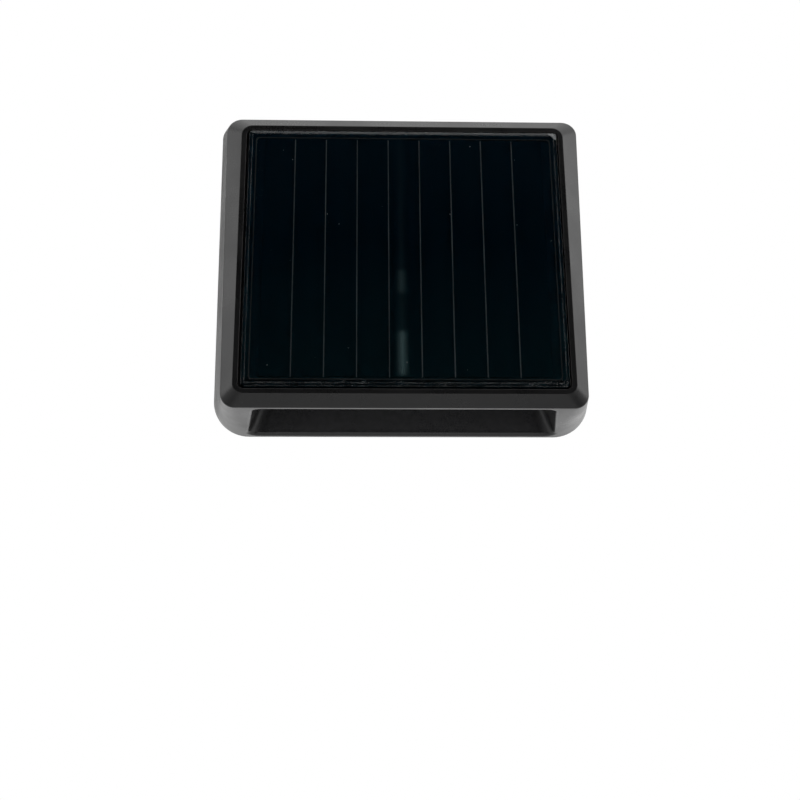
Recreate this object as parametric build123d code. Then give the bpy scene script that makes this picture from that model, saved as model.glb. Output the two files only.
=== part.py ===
from build123d import *
import os
from math import cos, radians, sin, tan

# Solar wall light.
# A shallow moulded wedge hangs flat on a wall. Its tilted front frames a solar panel, and a wide scoop in
# its underside holds the lamp window. A cover closes the back and carries the battery, the control board
# and the mode button.
# Frame: the origin is the middle of the back, on the wall. +X is right seen from the front, +Z is up, and
# -Y points away from the wall. A depth is the distance from the wall. Lengths are in mm, angles in degrees.

# Housing, outer form
FRONT_WIDTH = 100.0  # lower edge of the front rim
FRONT_HEIGHT = 90.0  # front rim, measured along its slope
BODY_DEPTH = 32.0  # wall to the lower edge of the front rim
PANEL_TILT = 4.7  # the front leans back towards its top
SIDE_DRAFT = 9.3  # the sides widen towards the wall
TOP_DRAFT = 25.0  # the top slopes down from the wall
REAR_LOW_CORNER = 10.7
REAR_HIGH_CORNER = 5.3
FRONT_CORNER = 4.0
BEVEL_WIDTH = 3.3
BEVEL_HEIGHT = 2.2
CREST_CORNER = 3.2
EDGE_ROUND = 0.4  # softened crest and rim of the bevel

# Housing, walls and seats
WALL = 2.2
INNER_CORNER = 2.0
LAND_WIDTH = 1.4  # flat strip between the crest and the panel pocket
POCKET_CORNER = 1.6
POCKET_FLOOR = 1.5
LEDGE_WIDTH = 1.6  # seat of the cover seal
LEAD_HOLE_RADIUS = 3.0
BOSS_RADIUS = 3.25

# Light scoop
CHEEK_WIDTH = 8.6  # beside the mouth, at the lower edge of the front rim
SCOOP_DRAFT = 6.8  # the mouth widens towards the wall
SCOOP_SLOPE = 20.0  # the side walls close in above the mouth
SCOOP_HEIGHT = 16.0
SCOOP_BACK_WALL = 1.9
SCOOP_LIP = 0.9  # edge of the scoop's back wall around the cover
SCOOP_FILLET = 3.0
MOUTH_ROUND = 1.0

# Solar panel
PANEL_GAP = 0.6  # between the panel and the edge of its pocket
PANEL_RISE = 0.4  # the panel is glued in above the middle of its pocket
PANEL_SHIFT = 0.2  # and to the right of it
PANEL_CORNER = 1.0
PANEL_DROP = 0.1  # glass below the land
TAPE_THICKNESS = 0.4
TAPE_WIDTH = 5.0
BOARD_THICKNESS = 1.2
CELL_THICKNESS = 0.25
GLASS_THICKNESS = 0.8
GLASS_EDGE_RUN = 0.9  # shallow slope around the sheet's face
GLASS_EDGE_DROP = 0.2
CELL_COUNT = 9
CELL_MARGIN = 2.43  # bus ribbon to the outer cells
CELL_SPACING = 0.5
RIBBON_WIDTH = 0.3
BORDER_INSET = 1.9  # bus ribbon inside the panel's edge
BORDER_SPACING = 0.5  # bus ribbon to the ends of the cells

# Rear cover
COVER_THICKNESS = 2.4
COVER_CLEARANCE = 0.25
SEAL_THICKNESS = 0.8
SEAL_WIDTH = 1.0
SEAL_INSET = 0.3
COVER_SCREW_SIDE = 8.8  # screws inside the sides of the back
COVER_SCREW_INSET = 10.0  # upper screws below the top of the back
COVER_SCREW_RISE = 25.3  # lower screws above the bottom of the back
COVER_SCREW_LENGTH = 10.0

# Keyholes in the rear cover
KEYHOLE_SPACING = 70.0
KEYHOLE_INSET = 26.6  # middle of the entry hole below the top of the back
KEYHOLE_TRAVEL = 8.5
KEYHOLE_ENTRY_RADIUS = 4.2
KEYHOLE_SLOT_RADIUS = 2.2
KEYHOLE_CUP_DEPTH = 4.6
KEYHOLE_CUP_WALL = 1.2
KEYHOLE_CUP_MARGIN = 0.4

# Screws
COVER_SHANK_RADIUS = 1.3
COVER_HEAD_RADIUS = 2.5
COVER_HEAD_HEIGHT = 1.3
COVER_HEAD_DROP = 0.3  # head below the wall
SMALL_SHANK_RADIUS = 1.0
SMALL_HEAD_RADIUS = 1.9
SMALL_HEAD_HEIGHT = 1.3
SMALL_SCREW_LENGTH = 5.0  # below the head
DRIVE_WIDTH = 0.6
DRIVE_DEPTH = 0.7
SCREW_FIT = 0.03  # between a shank and its pilot hole
SCREW_CLEARANCE = 0.25
PILOT_SPARE = 1.0  # pilot hole beyond the tip of the screw

# Lamp window and lamp board
LENS_DEPTH = 15.0  # middle of the window
LENS_WIDTH = 30.0
LENS_BREADTH = 12.4
LENS_CORNER = 3.0
LENS_CLEARANCE = 0.3
LENS_FLANGE_MARGIN = 3.0
LENS_FLANGE_THICKNESS = 1.5
LENS_PROUD = 1.0  # below the scoop's ceiling
LENS_ROUND = 0.8
LENS_SEAL_THICKNESS = 0.6
LENS_POST_RADIUS = 1.0
LENS_POST_HEIGHT = 1.8
LAMP_BOARD_END = 4.0  # beyond the screws
LAMP_BOARD_BREADTH = 17.0
LAMP_BOARD_CORNER = 2.0
LAMP_BOSS_GAP = 2.4  # to the window's flange
LAMP_BOSS_RADIUS = 2.6
LED_PITCH = 8.0
LED_WIDTH = 3.5
LED_BREADTH = 2.8
LED_HEIGHT = 0.8

# Control board
CONTROL_DEPTH = 11.0  # wall to the board's rear face
CONTROL_WIDTH = 44.0
CONTROL_HEIGHT = 26.0
CONTROL_CORNER = 1.5
CONTROL_POST_INSET = 3.4
CONTROL_POST_RADIUS = 2.5
CHIP_WIDTH = 5.0
CHIP_HEIGHT = 4.0
CHIP_THICKNESS = 1.6
COIL_RADIUS = 3.4
COIL_CORE_RADIUS = 2.2
COIL_HEIGHT = 4.2
COIL_RIM = 0.9
CAPACITOR_RADIUS = 3.15
CAPACITOR_CLEARANCE = 2.3  # to the front wall
CAPACITOR_ROUND = 0.5
PART_ROW_Z = 6.0  # components above the middle of the board
PART_ROW_X = 11.0
SOCKET_WIDTH = 6.0
SOCKET_HEIGHT = 5.0
SOCKET_THICKNESS = 4.6
SOCKET_PITCH = 13.0
SOCKET_DROP = 8.6  # sockets below the middle of the board

# Mode button and its switch
BUTTON_RADIUS = 4.5
BUTTON_CLEARANCE = 0.15
BUTTON_DROP = 0.5  # cap below the wall
BUTTON_ROUND = 0.5
BUTTON_DISH_RADIUS = 14.0
BUTTON_DISH_DEPTH = 0.4
BUTTON_TRAVEL = 0.8
BUTTON_FLANGE_RADIUS = 5.6
BUTTON_FLANGE_THICKNESS = 0.8
BUTTON_FLANGE_GAP = 0.2
BUTTON_POST_RADIUS = 1.6
COLLAR_LENGTH = 2.4  # beyond the cover's inner face
COLLAR_WALL = 2.4
RING_RADIUS = 0.45  # cord of the button's seal ring
RING_FIT = 0.16
RING_GROOVE_MARGIN = 0.08
SWITCH_SIZE = 6.2
SWITCH_HEIGHT = 3.6
SWITCH_STEM_RADIUS = 1.7
SWITCH_STEM_INSIDE = 1.6
SWITCH_STEM_PROUD = 1.2
SWITCH_BORE_CLEARANCE = 0.1
SWITCH_BORE_SPARE = 0.2

# Battery
BATTERY_RADIUS = 9.2
BATTERY_LENGTH = 65.0
BATTERY_ROUND = 0.8
BATTERY_NUB_RADIUS = 3.0
BATTERY_NUB_HEIGHT = 0.8
BATTERY_CLEARANCE = 0.2
CRADLE_WALL = 1.2
CRADLE_ROUND = 4.0
CRADLE_END_GAP = 2.2  # room for a contact
CRADLE_EAR_LENGTH = 6.0
CRADLE_EAR_HEIGHT = 8.0
CRADLE_EAR_THICKNESS = 2.0
CRADLE_POST_RADIUS = 2.6
CRADLE_POST_HEIGHT = 4.2
CONTACT_THICKNESS = 0.4
CONTACT_WIDTH = 9.0
CONTACT_SPAN = 12.0
CONTACT_TAB_WIDTH = 3.0
CONTACT_TAB_LENGTH = 2.0

# Free height between the lamp board and the top, shared out
LOWER_GAP_SHARE = 0.26  # lamp board to the battery
UPPER_GAP_SHARE = 0.27  # battery to the control board

# Leads inside the case
LEAD_RADIUS = 0.6
LEAD_SPACING = 1.8
LEAD_BEND_SHARE = 0.45  # of the shorter run beside a bend
LEAD_HOLE_DROP = 1.0  # panel leads' hole below the control board
LEAD_HOLE_RUN = 4.0  # panel leads straight out of the panel
LEAD_PAD_LENGTH = 1.6  # lamp leads on their pads
LEAD_SIDE_ROOM = 3.1  # leads beside the end of the cradle
LEAD_ROW_DEPTH = 16.0  # middle one of the lamp leads
LEAD_CELL_DROP = 1.1  # battery leads below the top of the cradle
LEAD_MOUTH_RUN = 2.0  # leads straight into their sockets

# Helpers of the construction
CUT_SPARE = 2.0  # how far a cutting solid runs past the face that it opens
FLAT_LIMIT = 0.01  # a point this close to a plane lies in it

# Values that follow from the sizes above
TILT = radians(PANEL_TILT)
SIDE_SLOPE = tan(radians(SIDE_DRAFT))
TOP_SLOPE = tan(radians(TOP_DRAFT))
TOP_DEPTH = BODY_DEPTH - FRONT_HEIGHT * sin(TILT)
REAR_WIDTH = FRONT_WIDTH + 2 * BODY_DEPTH * SIDE_SLOPE
REAR_HEIGHT = FRONT_HEIGHT * cos(TILT) + TOP_DEPTH * TOP_SLOPE
BOTTOM_Z = -REAR_HEIGHT / 2
TOP_Z = REAR_HEIGHT / 2
PANEL_STACK = TAPE_THICKNESS + BOARD_THICKNESS + CELL_THICKNESS + GLASS_THICKNESS
POCKET_DEPTH = PANEL_STACK + PANEL_DROP
FLOOR_HEIGHT = BEVEL_HEIGHT - POCKET_DEPTH  # pocket floor against the plane of the rim
FRONT_BACK = POCKET_FLOOR - FLOOR_HEIGHT  # inner face of the front wall, behind the rim
SEAT_DEPTH = COVER_THICKNESS + SEAL_THICKNESS
TOP_WALL = WALL + SEAT_DEPTH * TOP_SLOPE  # above the cover, so that the wall stays whole beside its seat
SCOOP_WALL = SCOOP_LIP + LEDGE_WIDTH
CEILING_Z = BOTTOM_Z + SCOOP_HEIGHT
CEILING_TOP = CEILING_Z + SCOOP_WALL
SCOOP_FRONT_WIDTH = FRONT_WIDTH - 2 * CHEEK_WIDTH
PANEL_INSET = BEVEL_WIDTH + LAND_WIDTH + PANEL_GAP
CELL_FIELD = FRONT_WIDTH - 2 * (PANEL_INSET + BORDER_INSET + RIBBON_WIDTH + CELL_MARGIN)
CELL_PITCH = (CELL_FIELD + CELL_SPACING) / CELL_COUNT
COVER_SCREW_X = REAR_WIDTH / 2 - COVER_SCREW_SIDE
KEYHOLE_Z = TOP_Z - KEYHOLE_INSET
LAMP_BOSS_X = LENS_WIDTH / 2 + LENS_FLANGE_MARGIN + LAMP_BOSS_GAP + LAMP_BOSS_RADIUS
LAMP_BOARD_WIDTH = 2 * (LAMP_BOSS_X + LAMP_BOARD_END)
LAMP_BOARD_SEAT = CEILING_TOP + LENS_SEAL_THICKNESS + LENS_FLANGE_THICKNESS + LENS_POST_HEIGHT
LAMP_BOARD_TOP = LAMP_BOARD_SEAT + BOARD_THICKNESS
CRADLE_HALF_HEIGHT = BATTERY_RADIUS + BATTERY_CLEARANCE + CRADLE_WALL
CONTROL_ROOF = TOP_Z - WALL - CONTROL_DEPTH * TOP_SLOPE  # under the sloped top, at the control board
FREE_HEIGHT = CONTROL_ROOF - LAMP_BOARD_TOP - 2 * CRADLE_HALF_HEIGHT - CONTROL_HEIGHT
LOWER_GAP = LOWER_GAP_SHARE * FREE_HEIGHT
UPPER_GAP = UPPER_GAP_SHARE * FREE_HEIGHT
BATTERY_Z = LAMP_BOARD_TOP + LOWER_GAP + CRADLE_HALF_HEIGHT
CONTROL_Z = BATTERY_Z + CRADLE_HALF_HEIGHT + UPPER_GAP + CONTROL_HEIGHT / 2

FRONT = Plane(origin=(0, -BODY_DEPTH, BOTTOM_Z), x_dir=(1, 0, 0), z_dir=(0, -cos(TILT), sin(TILT)))
FRONT_AXIS = Axis(FRONT.origin, FRONT.z_dir)


def wall_plane(depth):
    """Plane at a depth from the wall, facing the viewer, with local x along X and local y along Z."""
    return Plane.XZ.offset(depth)


def wall_spot(x, z, depth):
    """Plane like wall_plane, with its origin at a place on it."""
    return Plane(origin=(x, -depth, z), x_dir=(1, 0, 0), z_dir=(0, -1, 0))


def front_plane(height):
    """Plane parallel to the tilted front, at a height in front of the rim."""
    return FRONT.offset(height)


def peg(x, z, radius, near, far):
    """Round post square to the wall, between two depths."""
    return extrude(wall_plane(near) * Pos(x, z) * Circle(radius), far - near)


def rounded_face(plane, corners, radii):
    """Flat face with straight sides and round corners."""
    outline = FilletPolyline(*corners, radius=radii, close=True)
    return plane * make_face(outline.edges())


def group(name, solids):
    """Several separate solids of one node."""
    return Compound(label=name, children=list(solids))


# Housing

def body_half_width(depth):
    """Half width of the outer skin at a depth from the wall."""
    return FRONT_WIDTH / 2 + (BODY_DEPTH - depth) * SIDE_SLOPE


def body_corner(rear_corner, depth):
    """Corner radius of the outer skin, which grows from the rim to the wall."""
    return rear_corner + (FRONT_CORNER - rear_corner) * depth / BODY_DEPTH


def rear_outline(inset, top_inset):
    """Outline of the back on the wall, moved inwards."""
    half = REAR_WIDTH / 2 - inset
    low = BOTTOM_Z + inset
    high = TOP_Z - top_inset
    corners = [(-half, low), (half, low), (half, high), (-half, high)]
    lower_corner, upper_corner = [corner - inset for corner in (REAR_LOW_CORNER, REAR_HIGH_CORNER)]
    radii = [lower_corner, lower_corner, upper_corner, upper_corner]
    return rounded_face(wall_plane(0), corners, radii)


def front_outline(back, inset):
    """Section of the body on a plane behind the rim and parallel to it, moved inwards."""
    low = (inset + back * sin(TILT)) / cos(TILT)
    top_drop = (BODY_DEPTH - back * cos(TILT)) * TOP_SLOPE
    high = (REAR_HEIGHT - inset + back * sin(TILT) - top_drop) / (cos(TILT) - sin(TILT) * TOP_SLOPE)
    depths = [BODY_DEPTH - back * cos(TILT) - rise * sin(TILT) for rise in (low, high)]
    lower_half, upper_half = [body_half_width(depth) - inset for depth in depths]
    outer_corners = [body_corner(*pair) for pair in zip((REAR_LOW_CORNER, REAR_HIGH_CORNER), depths)]
    lower_corner, upper_corner = [max(corner - inset, INNER_CORNER) for corner in outer_corners]
    corners = [(-lower_half, low), (lower_half, low), (upper_half, high), (-upper_half, high)]
    radii = [lower_corner, lower_corner, upper_corner, upper_corner]
    return rounded_face(front_plane(-back), corners, radii)


def frame_rectangle(height, inset, corner):
    """Rounded rectangle on the front, moved inwards from the lower rim."""
    width = FRONT_WIDTH - 2 * inset
    tall = FRONT_HEIGHT - 2 * inset
    return front_plane(height) * Pos(0, FRONT_HEIGHT / 2) * RectangleRounded(width, tall, corner)


def on_rim(edge):
    """Whether an edge of the body lies in the plane of the rim."""
    return all(abs(FRONT.to_local_coords(edge @ share).Z) < FLAT_LIMIT for share in (0, 0.5, 1))


def outer_body():
    """Solid wedge with conical corners and a bevelled front."""
    skin = loft([rear_outline(0, 0), front_outline(0, 0)], ruled=True)
    bevel = loft([front_outline(0, 0), frame_rectangle(BEVEL_HEIGHT, BEVEL_WIDTH, CREST_CORNER)], ruled=True)
    body = skin + bevel
    crest = body.faces().sort_by(FRONT_AXIS)[-1]
    return fillet(crest.edges() + body.edges().filter_by(on_rim), EDGE_ROUND)


def scoop_outline(plane, base, half_mouth, grow):
    """Trapezoid of the scoop, open below its mouth, with its walls moved outwards."""
    slope = tan(radians(SCOOP_SLOPE))
    side = half_mouth + grow / cos(radians(SCOOP_SLOPE))
    rise = SCOOP_HEIGHT + grow
    low_half = side + CUT_SPARE * slope
    high_half = side - rise * slope
    corners = [
        (-low_half, base - CUT_SPARE),
        (low_half, base - CUT_SPARE),
        (high_half, base + rise),
        (-high_half, base + rise),
    ]
    return plane * make_face(Polyline(*corners, close=True).edges())


def scoop_half_mouth(depth):
    """Half width of the scoop's mouth at a depth from the wall."""
    return SCOOP_FRONT_WIDTH / 2 + (BODY_DEPTH - depth) * tan(radians(SCOOP_DRAFT))


def scoop_solid(near_depth, grow):
    """Space of the scoop from a depth to the inner face of the front wall."""
    rear = scoop_outline(wall_plane(near_depth), BOTTOM_Z, scoop_half_mouth(near_depth), grow)
    low = FRONT_BACK * tan(TILT)
    front = scoop_outline(front_plane(-FRONT_BACK), low, scoop_half_mouth(BODY_DEPTH), grow)
    return loft([rear, front], ruled=True)


def scoop_space():
    """Hollow of the scoop with rounded inner corners."""
    space = scoop_solid(SCOOP_BACK_WALL, 0)
    inner_edges = [edge for edge in space.edges() if edge.center().Z > BOTTOM_Z - CUT_SPARE / 2]
    return fillet(inner_edges, SCOOP_FILLET)


def scooped_body():
    """Solid wedge with the scoop cut into its underside and the scoop's mouth rounded."""
    body = outer_body()
    space = scoop_space()
    scooped = body - space
    mouth = new_edges(body, space, combined=scooped)
    return fillet(mouth, MOUTH_ROUND)


def cover_opening():
    """Outline of the opening in the back: an arch around the scoop's back wall."""
    scoop_back = scoop_outline(wall_plane(0), BOTTOM_Z, scoop_half_mouth(0), SCOOP_LIP)
    return rear_outline(WALL, TOP_WALL) - scoop_back


def cover_screw_places():
    """Places of the four cover screws on the wall."""
    heights = (TOP_Z - COVER_SCREW_INSET, BOTTOM_Z + COVER_SCREW_RISE)
    return [(side * COVER_SCREW_X, z) for z in heights for side in (-1, 1)]


def lamp_peg(x, radius, low, high):
    """Upright round post on the scoop's ceiling, in line with the lamp window."""
    return extrude(Plane.XY.offset(low) * Pos(x, -LENS_DEPTH) * Circle(radius), high - low)


def inner_space():
    """Hollow of the case, with the scoop and the screw bosses left standing."""
    rear = rear_outline(WALL + LEDGE_WIDTH, TOP_WALL + LEDGE_WIDTH)
    space = loft([rear, front_outline(FRONT_BACK, WALL)], ruled=True)
    space -= scoop_solid(0, SCOOP_WALL)
    for x, z in cover_screw_places():
        space -= peg(x, z, BOSS_RADIUS, 0, BODY_DEPTH)
    for side in (-1, 1):
        space -= lamp_peg(side * LAMP_BOSS_X, LAMP_BOSS_RADIUS, CEILING_Z, LAMP_BOARD_SEAT)
    return space


def front_housing():
    """Moulded housing: bevelled frame, panel pocket, side walls and light scoop."""
    housing = scooped_body() - inner_space()
    housing -= extrude(cover_opening(), SEAT_DEPTH)
    pocket_inset = BEVEL_WIDTH + LAND_WIDTH
    housing -= extrude(frame_rectangle(FLOOR_HEIGHT, pocket_inset, POCKET_CORNER), POCKET_DEPTH + CUT_SPARE)
    housing -= panel_lead_hole()
    housing -= lens_plate(CEILING_Z - CUT_SPARE, SCOOP_WALL + 2 * CUT_SPARE, LENS_CLEARANCE)
    pilot = COVER_SHANK_RADIUS + SCREW_FIT
    for x, z in cover_screw_places():
        housing -= peg(x, z, pilot, SEAT_DEPTH, COVER_HEAD_DROP + COVER_SCREW_LENGTH + PILOT_SPARE)
    small_pilot = SMALL_SHANK_RADIUS + SCREW_FIT
    for side in (-1, 1):
        housing -= lamp_peg(side * LAMP_BOSS_X, small_pilot, CEILING_Z + SCOOP_LIP, LAMP_BOARD_SEAT)
    return housing


# Solar panel

def panel_place(height, x):
    """Place on the panel's middle line, at a height in front of the rim and a distance to the right."""
    return front_plane(height) * Pos(x + PANEL_SHIFT, FRONT_HEIGHT / 2 + PANEL_RISE)


def panel_rectangle(height, inset):
    """Outline of the panel on the front, moved inwards."""
    width = FRONT_WIDTH - 2 * (PANEL_INSET + inset)
    tall = FRONT_HEIGHT - 2 * (PANEL_INSET + inset)
    return panel_place(height, 0) * RectangleRounded(width, tall, PANEL_CORNER)


def panel_lead_place():
    """Place of the leads' hole in the pocket floor: x and the rise along the front."""
    hole_z = CONTROL_Z - CONTROL_HEIGHT / 2 - LEAD_HOLE_DROP
    return SOCKET_PITCH, (hole_z - BOTTOM_Z) / cos(TILT)


def panel_lead_hole():
    """Hole in the pocket floor for the panel's leads."""
    return extrude(front_plane(-FRONT_BACK - CUT_SPARE) * Pos(*panel_lead_place()) * Circle(LEAD_HOLE_RADIUS),
                   POCKET_FLOOR + 2 * CUT_SPARE)


def panel_tape():
    """Adhesive foam ring under the panel."""
    ring = panel_rectangle(FLOOR_HEIGHT, 0) - panel_rectangle(FLOOR_HEIGHT, TAPE_WIDTH)
    return extrude(ring, TAPE_THICKNESS)


def panel_board():
    """Stiff backing board of the panel."""
    return extrude(panel_rectangle(FLOOR_HEIGHT + TAPE_THICKNESS, 0), BOARD_THICKNESS)


def cell_height():
    """Height of the cells' rear face above the rim."""
    return FLOOR_HEIGHT + TAPE_THICKNESS + BOARD_THICKNESS


def cell_tall():
    """Length of one cell strip."""
    return FRONT_HEIGHT - 2 * (PANEL_INSET + BORDER_INSET + RIBBON_WIDTH + BORDER_SPACING)


def solar_cells():
    """Upright cell strips, side by side."""
    strips = []
    for index in range(CELL_COUNT):
        x = (index - (CELL_COUNT - 1) / 2) * CELL_PITCH
        face = panel_place(cell_height(), x) * Rectangle(CELL_PITCH - CELL_SPACING, cell_tall())
        strips.append(extrude(face, CELL_THICKNESS))
    return group("solar_cells", strips)


def cell_ribbons():
    """Thin metal ribbons between the strips, and the bus ribbon around them."""
    outer = panel_rectangle(cell_height(), BORDER_INSET)
    inner = panel_rectangle(cell_height(), BORDER_INSET + RIBBON_WIDTH)
    ribbons = [extrude(outer - inner, CELL_THICKNESS)]
    for index in range(1, CELL_COUNT):
        x = (index - CELL_COUNT / 2) * CELL_PITCH
        face = panel_place(cell_height(), x) * Rectangle(RIBBON_WIDTH, cell_tall())
        ribbons.append(extrude(face, CELL_THICKNESS))
    return group("cell_ribbons", ribbons)


def panel_glass():
    """Clear front sheet of the panel with a sloped edge."""
    sheet = extrude(panel_rectangle(cell_height() + CELL_THICKNESS, 0), GLASS_THICKNESS)
    front_face = sheet.faces().sort_by(FRONT_AXIS)[-1]
    return chamfer(front_face.edges(), GLASS_EDGE_RUN, GLASS_EDGE_DROP, reference=front_face)


# Lamp window and lamp board

def lens_plate(low, thickness, margin):
    """Level plate in the window's outline, with a margin around it."""
    outline = RectangleRounded(LENS_WIDTH + 2 * margin, LENS_BREADTH + 2 * margin, LENS_CORNER + margin)
    return extrude(Plane.XY.offset(low) * Pos(0, -LENS_DEPTH) * outline, thickness)


def lens_post_places():
    """Places of the four posts that the lamp board presses on."""
    half_width = LENS_WIDTH / 2 + LENS_FLANGE_MARGIN / 2
    half_breadth = LENS_BREADTH / 2
    return [(x * half_width, y * half_breadth - LENS_DEPTH) for x in (-1, 1) for y in (-1, 1)]


def light_lens():
    """Clear window with a flange above the ceiling and posts under the lamp board."""
    flange_low = CEILING_TOP + LENS_SEAL_THICKNESS
    low = CEILING_Z - LENS_PROUD
    body = lens_plate(low, flange_low - low, 0)
    body = fillet(body.faces().sort_by(Axis.Z)[0].edges(), LENS_ROUND)
    lens = body + lens_plate(flange_low, LENS_FLANGE_THICKNESS, LENS_FLANGE_MARGIN)
    post_low = flange_low + LENS_FLANGE_THICKNESS
    for x, y in lens_post_places():
        lens += extrude(Plane.XY.offset(post_low) * Pos(x, y) * Circle(LENS_POST_RADIUS), LENS_POST_HEIGHT)
    return lens


def lens_seal():
    """Soft ring between the window's flange and the ceiling."""
    ring = lens_plate(CEILING_TOP, LENS_SEAL_THICKNESS, LENS_FLANGE_MARGIN)
    return ring - lens_plate(CEILING_TOP, LENS_SEAL_THICKNESS, LENS_CLEARANCE)


def lamp_board():
    """Metal-core board that carries the light sources."""
    outline = RectangleRounded(LAMP_BOARD_WIDTH, LAMP_BOARD_BREADTH, LAMP_BOARD_CORNER)
    board = extrude(Plane.XY.offset(LAMP_BOARD_SEAT) * Pos(0, -LENS_DEPTH) * outline, BOARD_THICKNESS)
    hole = SMALL_SHANK_RADIUS + SCREW_CLEARANCE
    for side in (-1, 1):
        board -= lamp_peg(side * LAMP_BOSS_X, hole, LAMP_BOARD_SEAT, LAMP_BOARD_TOP)
    return board


def light_source(slot):
    """One surface-mounted light source under the lamp board."""
    place = Pos(slot * LED_PITCH, -LENS_DEPTH)
    face = Plane.XY.offset(LAMP_BOARD_SEAT - LED_HEIGHT) * place * Rectangle(LED_WIDTH, LED_BREADTH)
    return extrude(face, LED_HEIGHT)


# Screws

def drive_recess(plane, span):
    """Cross recess cut into a screw head from the plane of its top."""
    bars = Rectangle(span, DRIVE_WIDTH) + Rectangle(DRIVE_WIDTH, span)
    return extrude(plane * bars, -DRIVE_DEPTH)


def pan_screw(seat):
    """Small screw whose flat head rests on a plane."""
    head = extrude(seat * Circle(SMALL_HEAD_RADIUS), SMALL_HEAD_HEIGHT)
    shank = extrude(seat * Circle(SMALL_SHANK_RADIUS), -SMALL_SCREW_LENGTH)
    return head + shank - drive_recess(seat.offset(SMALL_HEAD_HEIGHT), SMALL_HEAD_RADIUS)


def countersink(x, z, clearance):
    """Cone of a cover screw's head, opening towards the wall."""
    wide = wall_spot(x, z, COVER_HEAD_DROP) * Circle(COVER_HEAD_RADIUS + clearance)
    narrow = wall_spot(x, z, COVER_HEAD_DROP + COVER_HEAD_HEIGHT) * Circle(COVER_SHANK_RADIUS + clearance)
    return loft([wide, narrow], ruled=True)


def cover_screw(x, z):
    """Countersunk screw from the back into a boss of the housing."""
    head_end = COVER_HEAD_DROP + COVER_HEAD_HEIGHT
    shank = peg(x, z, COVER_SHANK_RADIUS, head_end, COVER_HEAD_DROP + COVER_SCREW_LENGTH)
    top = Plane(origin=(x, -COVER_HEAD_DROP, z), x_dir=(1, 0, 0), z_dir=(0, 1, 0))
    return countersink(x, z, 0) + shank - drive_recess(top, COVER_HEAD_RADIUS)


def lamp_screws():
    """Two screws that hold the lamp board down."""
    places = [Plane(origin=(side * LAMP_BOSS_X, -LENS_DEPTH, LAMP_BOARD_TOP)) for side in (-1, 1)]
    return group("lamp_screws", [pan_screw(place) for place in places])


# Rear cover

def control_post_places():
    """Places of the four posts under the control board."""
    half_width = CONTROL_WIDTH / 2 - CONTROL_POST_INSET
    half_height = CONTROL_HEIGHT / 2 - CONTROL_POST_INSET
    return [(x * half_width, CONTROL_Z + z * half_height) for x in (-1, 1) for z in (-1, 1)]


def control_screw_places():
    """Two opposite corners of the control board that are screwed down."""
    places = control_post_places()
    return [places[0], places[-1]]


def cradle_half_length():
    """Half length of the room for the cell and its contacts."""
    return BATTERY_LENGTH / 2 + CRADLE_END_GAP


def cradle_screw_places():
    """Places of the two screws that hold the battery cradle."""
    x = cradle_half_length() + CRADLE_WALL + CRADLE_EAR_LENGTH / 2
    return [(side * x, BATTERY_Z) for side in (-1, 1)]


def keyhole_places():
    """Middles of the two keyholes' entry holes."""
    return [(side * KEYHOLE_SPACING / 2, KEYHOLE_Z) for side in (-1, 1)]


def upright_slot(x, z, radius, near, far):
    """Slot with round ends over a keyhole's travel, between two depths."""
    bottom = peg(x, z, radius, near, far)
    top = peg(x, z + KEYHOLE_TRAVEL, radius, near, far)
    middle = Pos(x, z + KEYHOLE_TRAVEL / 2) * Rectangle(2 * radius, KEYHOLE_TRAVEL)
    return bottom + top + extrude(wall_plane(near) * middle, far - near)


def button_bore():
    """Hole through the cover and its collar for the mode button, with the groove of its seal ring."""
    far = COVER_THICKNESS + COLLAR_LENGTH
    bore = peg(0, CONTROL_Z, BUTTON_RADIUS + BUTTON_CLEARANCE, 0, far)
    half_groove = RING_RADIUS + RING_GROOVE_MARGIN
    reach = BUTTON_RADIUS + RING_FIT + 2 * RING_RADIUS + RING_GROOVE_MARGIN
    groove = peg(0, CONTROL_Z, reach, ring_depth() - half_groove, ring_depth() + half_groove)
    return bore + groove


def ring_depth():
    """Depth of the seal ring around the mode button."""
    return COVER_THICKNESS + COLLAR_LENGTH / 2


def rear_cover():
    """Back plate with board posts, cradle posts, keyhole cups and the collar of the mode button."""
    cover = extrude(offset(cover_opening(), -COVER_CLEARANCE), COVER_THICKNESS)
    cover += peg(0, CONTROL_Z, BUTTON_RADIUS + COLLAR_WALL, 0, COVER_THICKNESS + COLLAR_LENGTH)
    for x, z in cover_screw_places():
        cover += peg(x, z, BOSS_RADIUS, 0, SEAT_DEPTH)
    for x, z in control_post_places():
        cover += peg(x, z, CONTROL_POST_RADIUS, 0, CONTROL_DEPTH)
    for x, z in cradle_screw_places():
        cover += peg(x, z, CRADLE_POST_RADIUS, 0, COVER_THICKNESS + CRADLE_POST_HEIGHT)
    for x, z in keyhole_places():
        cover = add_keyhole(cover, x, z)
    cover -= button_bore()
    for x, z in cover_screw_places():
        cover -= peg(x, z, COVER_SHANK_RADIUS + SCREW_CLEARANCE, 0, SEAT_DEPTH)
        cover -= countersink(x, z, SCREW_FIT)
        cover -= peg(x, z, COVER_HEAD_RADIUS + SCREW_FIT, 0, COVER_HEAD_DROP)
    pilot = SMALL_SHANK_RADIUS + SCREW_FIT
    board_tip = CONTROL_DEPTH + BOARD_THICKNESS - SMALL_SCREW_LENGTH - PILOT_SPARE
    for x, z in control_screw_places():
        cover -= peg(x, z, pilot, board_tip, CONTROL_DEPTH)
    ear_seat = COVER_THICKNESS + CRADLE_POST_HEIGHT
    cradle_tip = ear_seat + CRADLE_EAR_THICKNESS - SMALL_SCREW_LENGTH - PILOT_SPARE
    for x, z in cradle_screw_places():
        cover -= peg(x, z, pilot, cradle_tip, ear_seat)
    return cover


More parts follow.
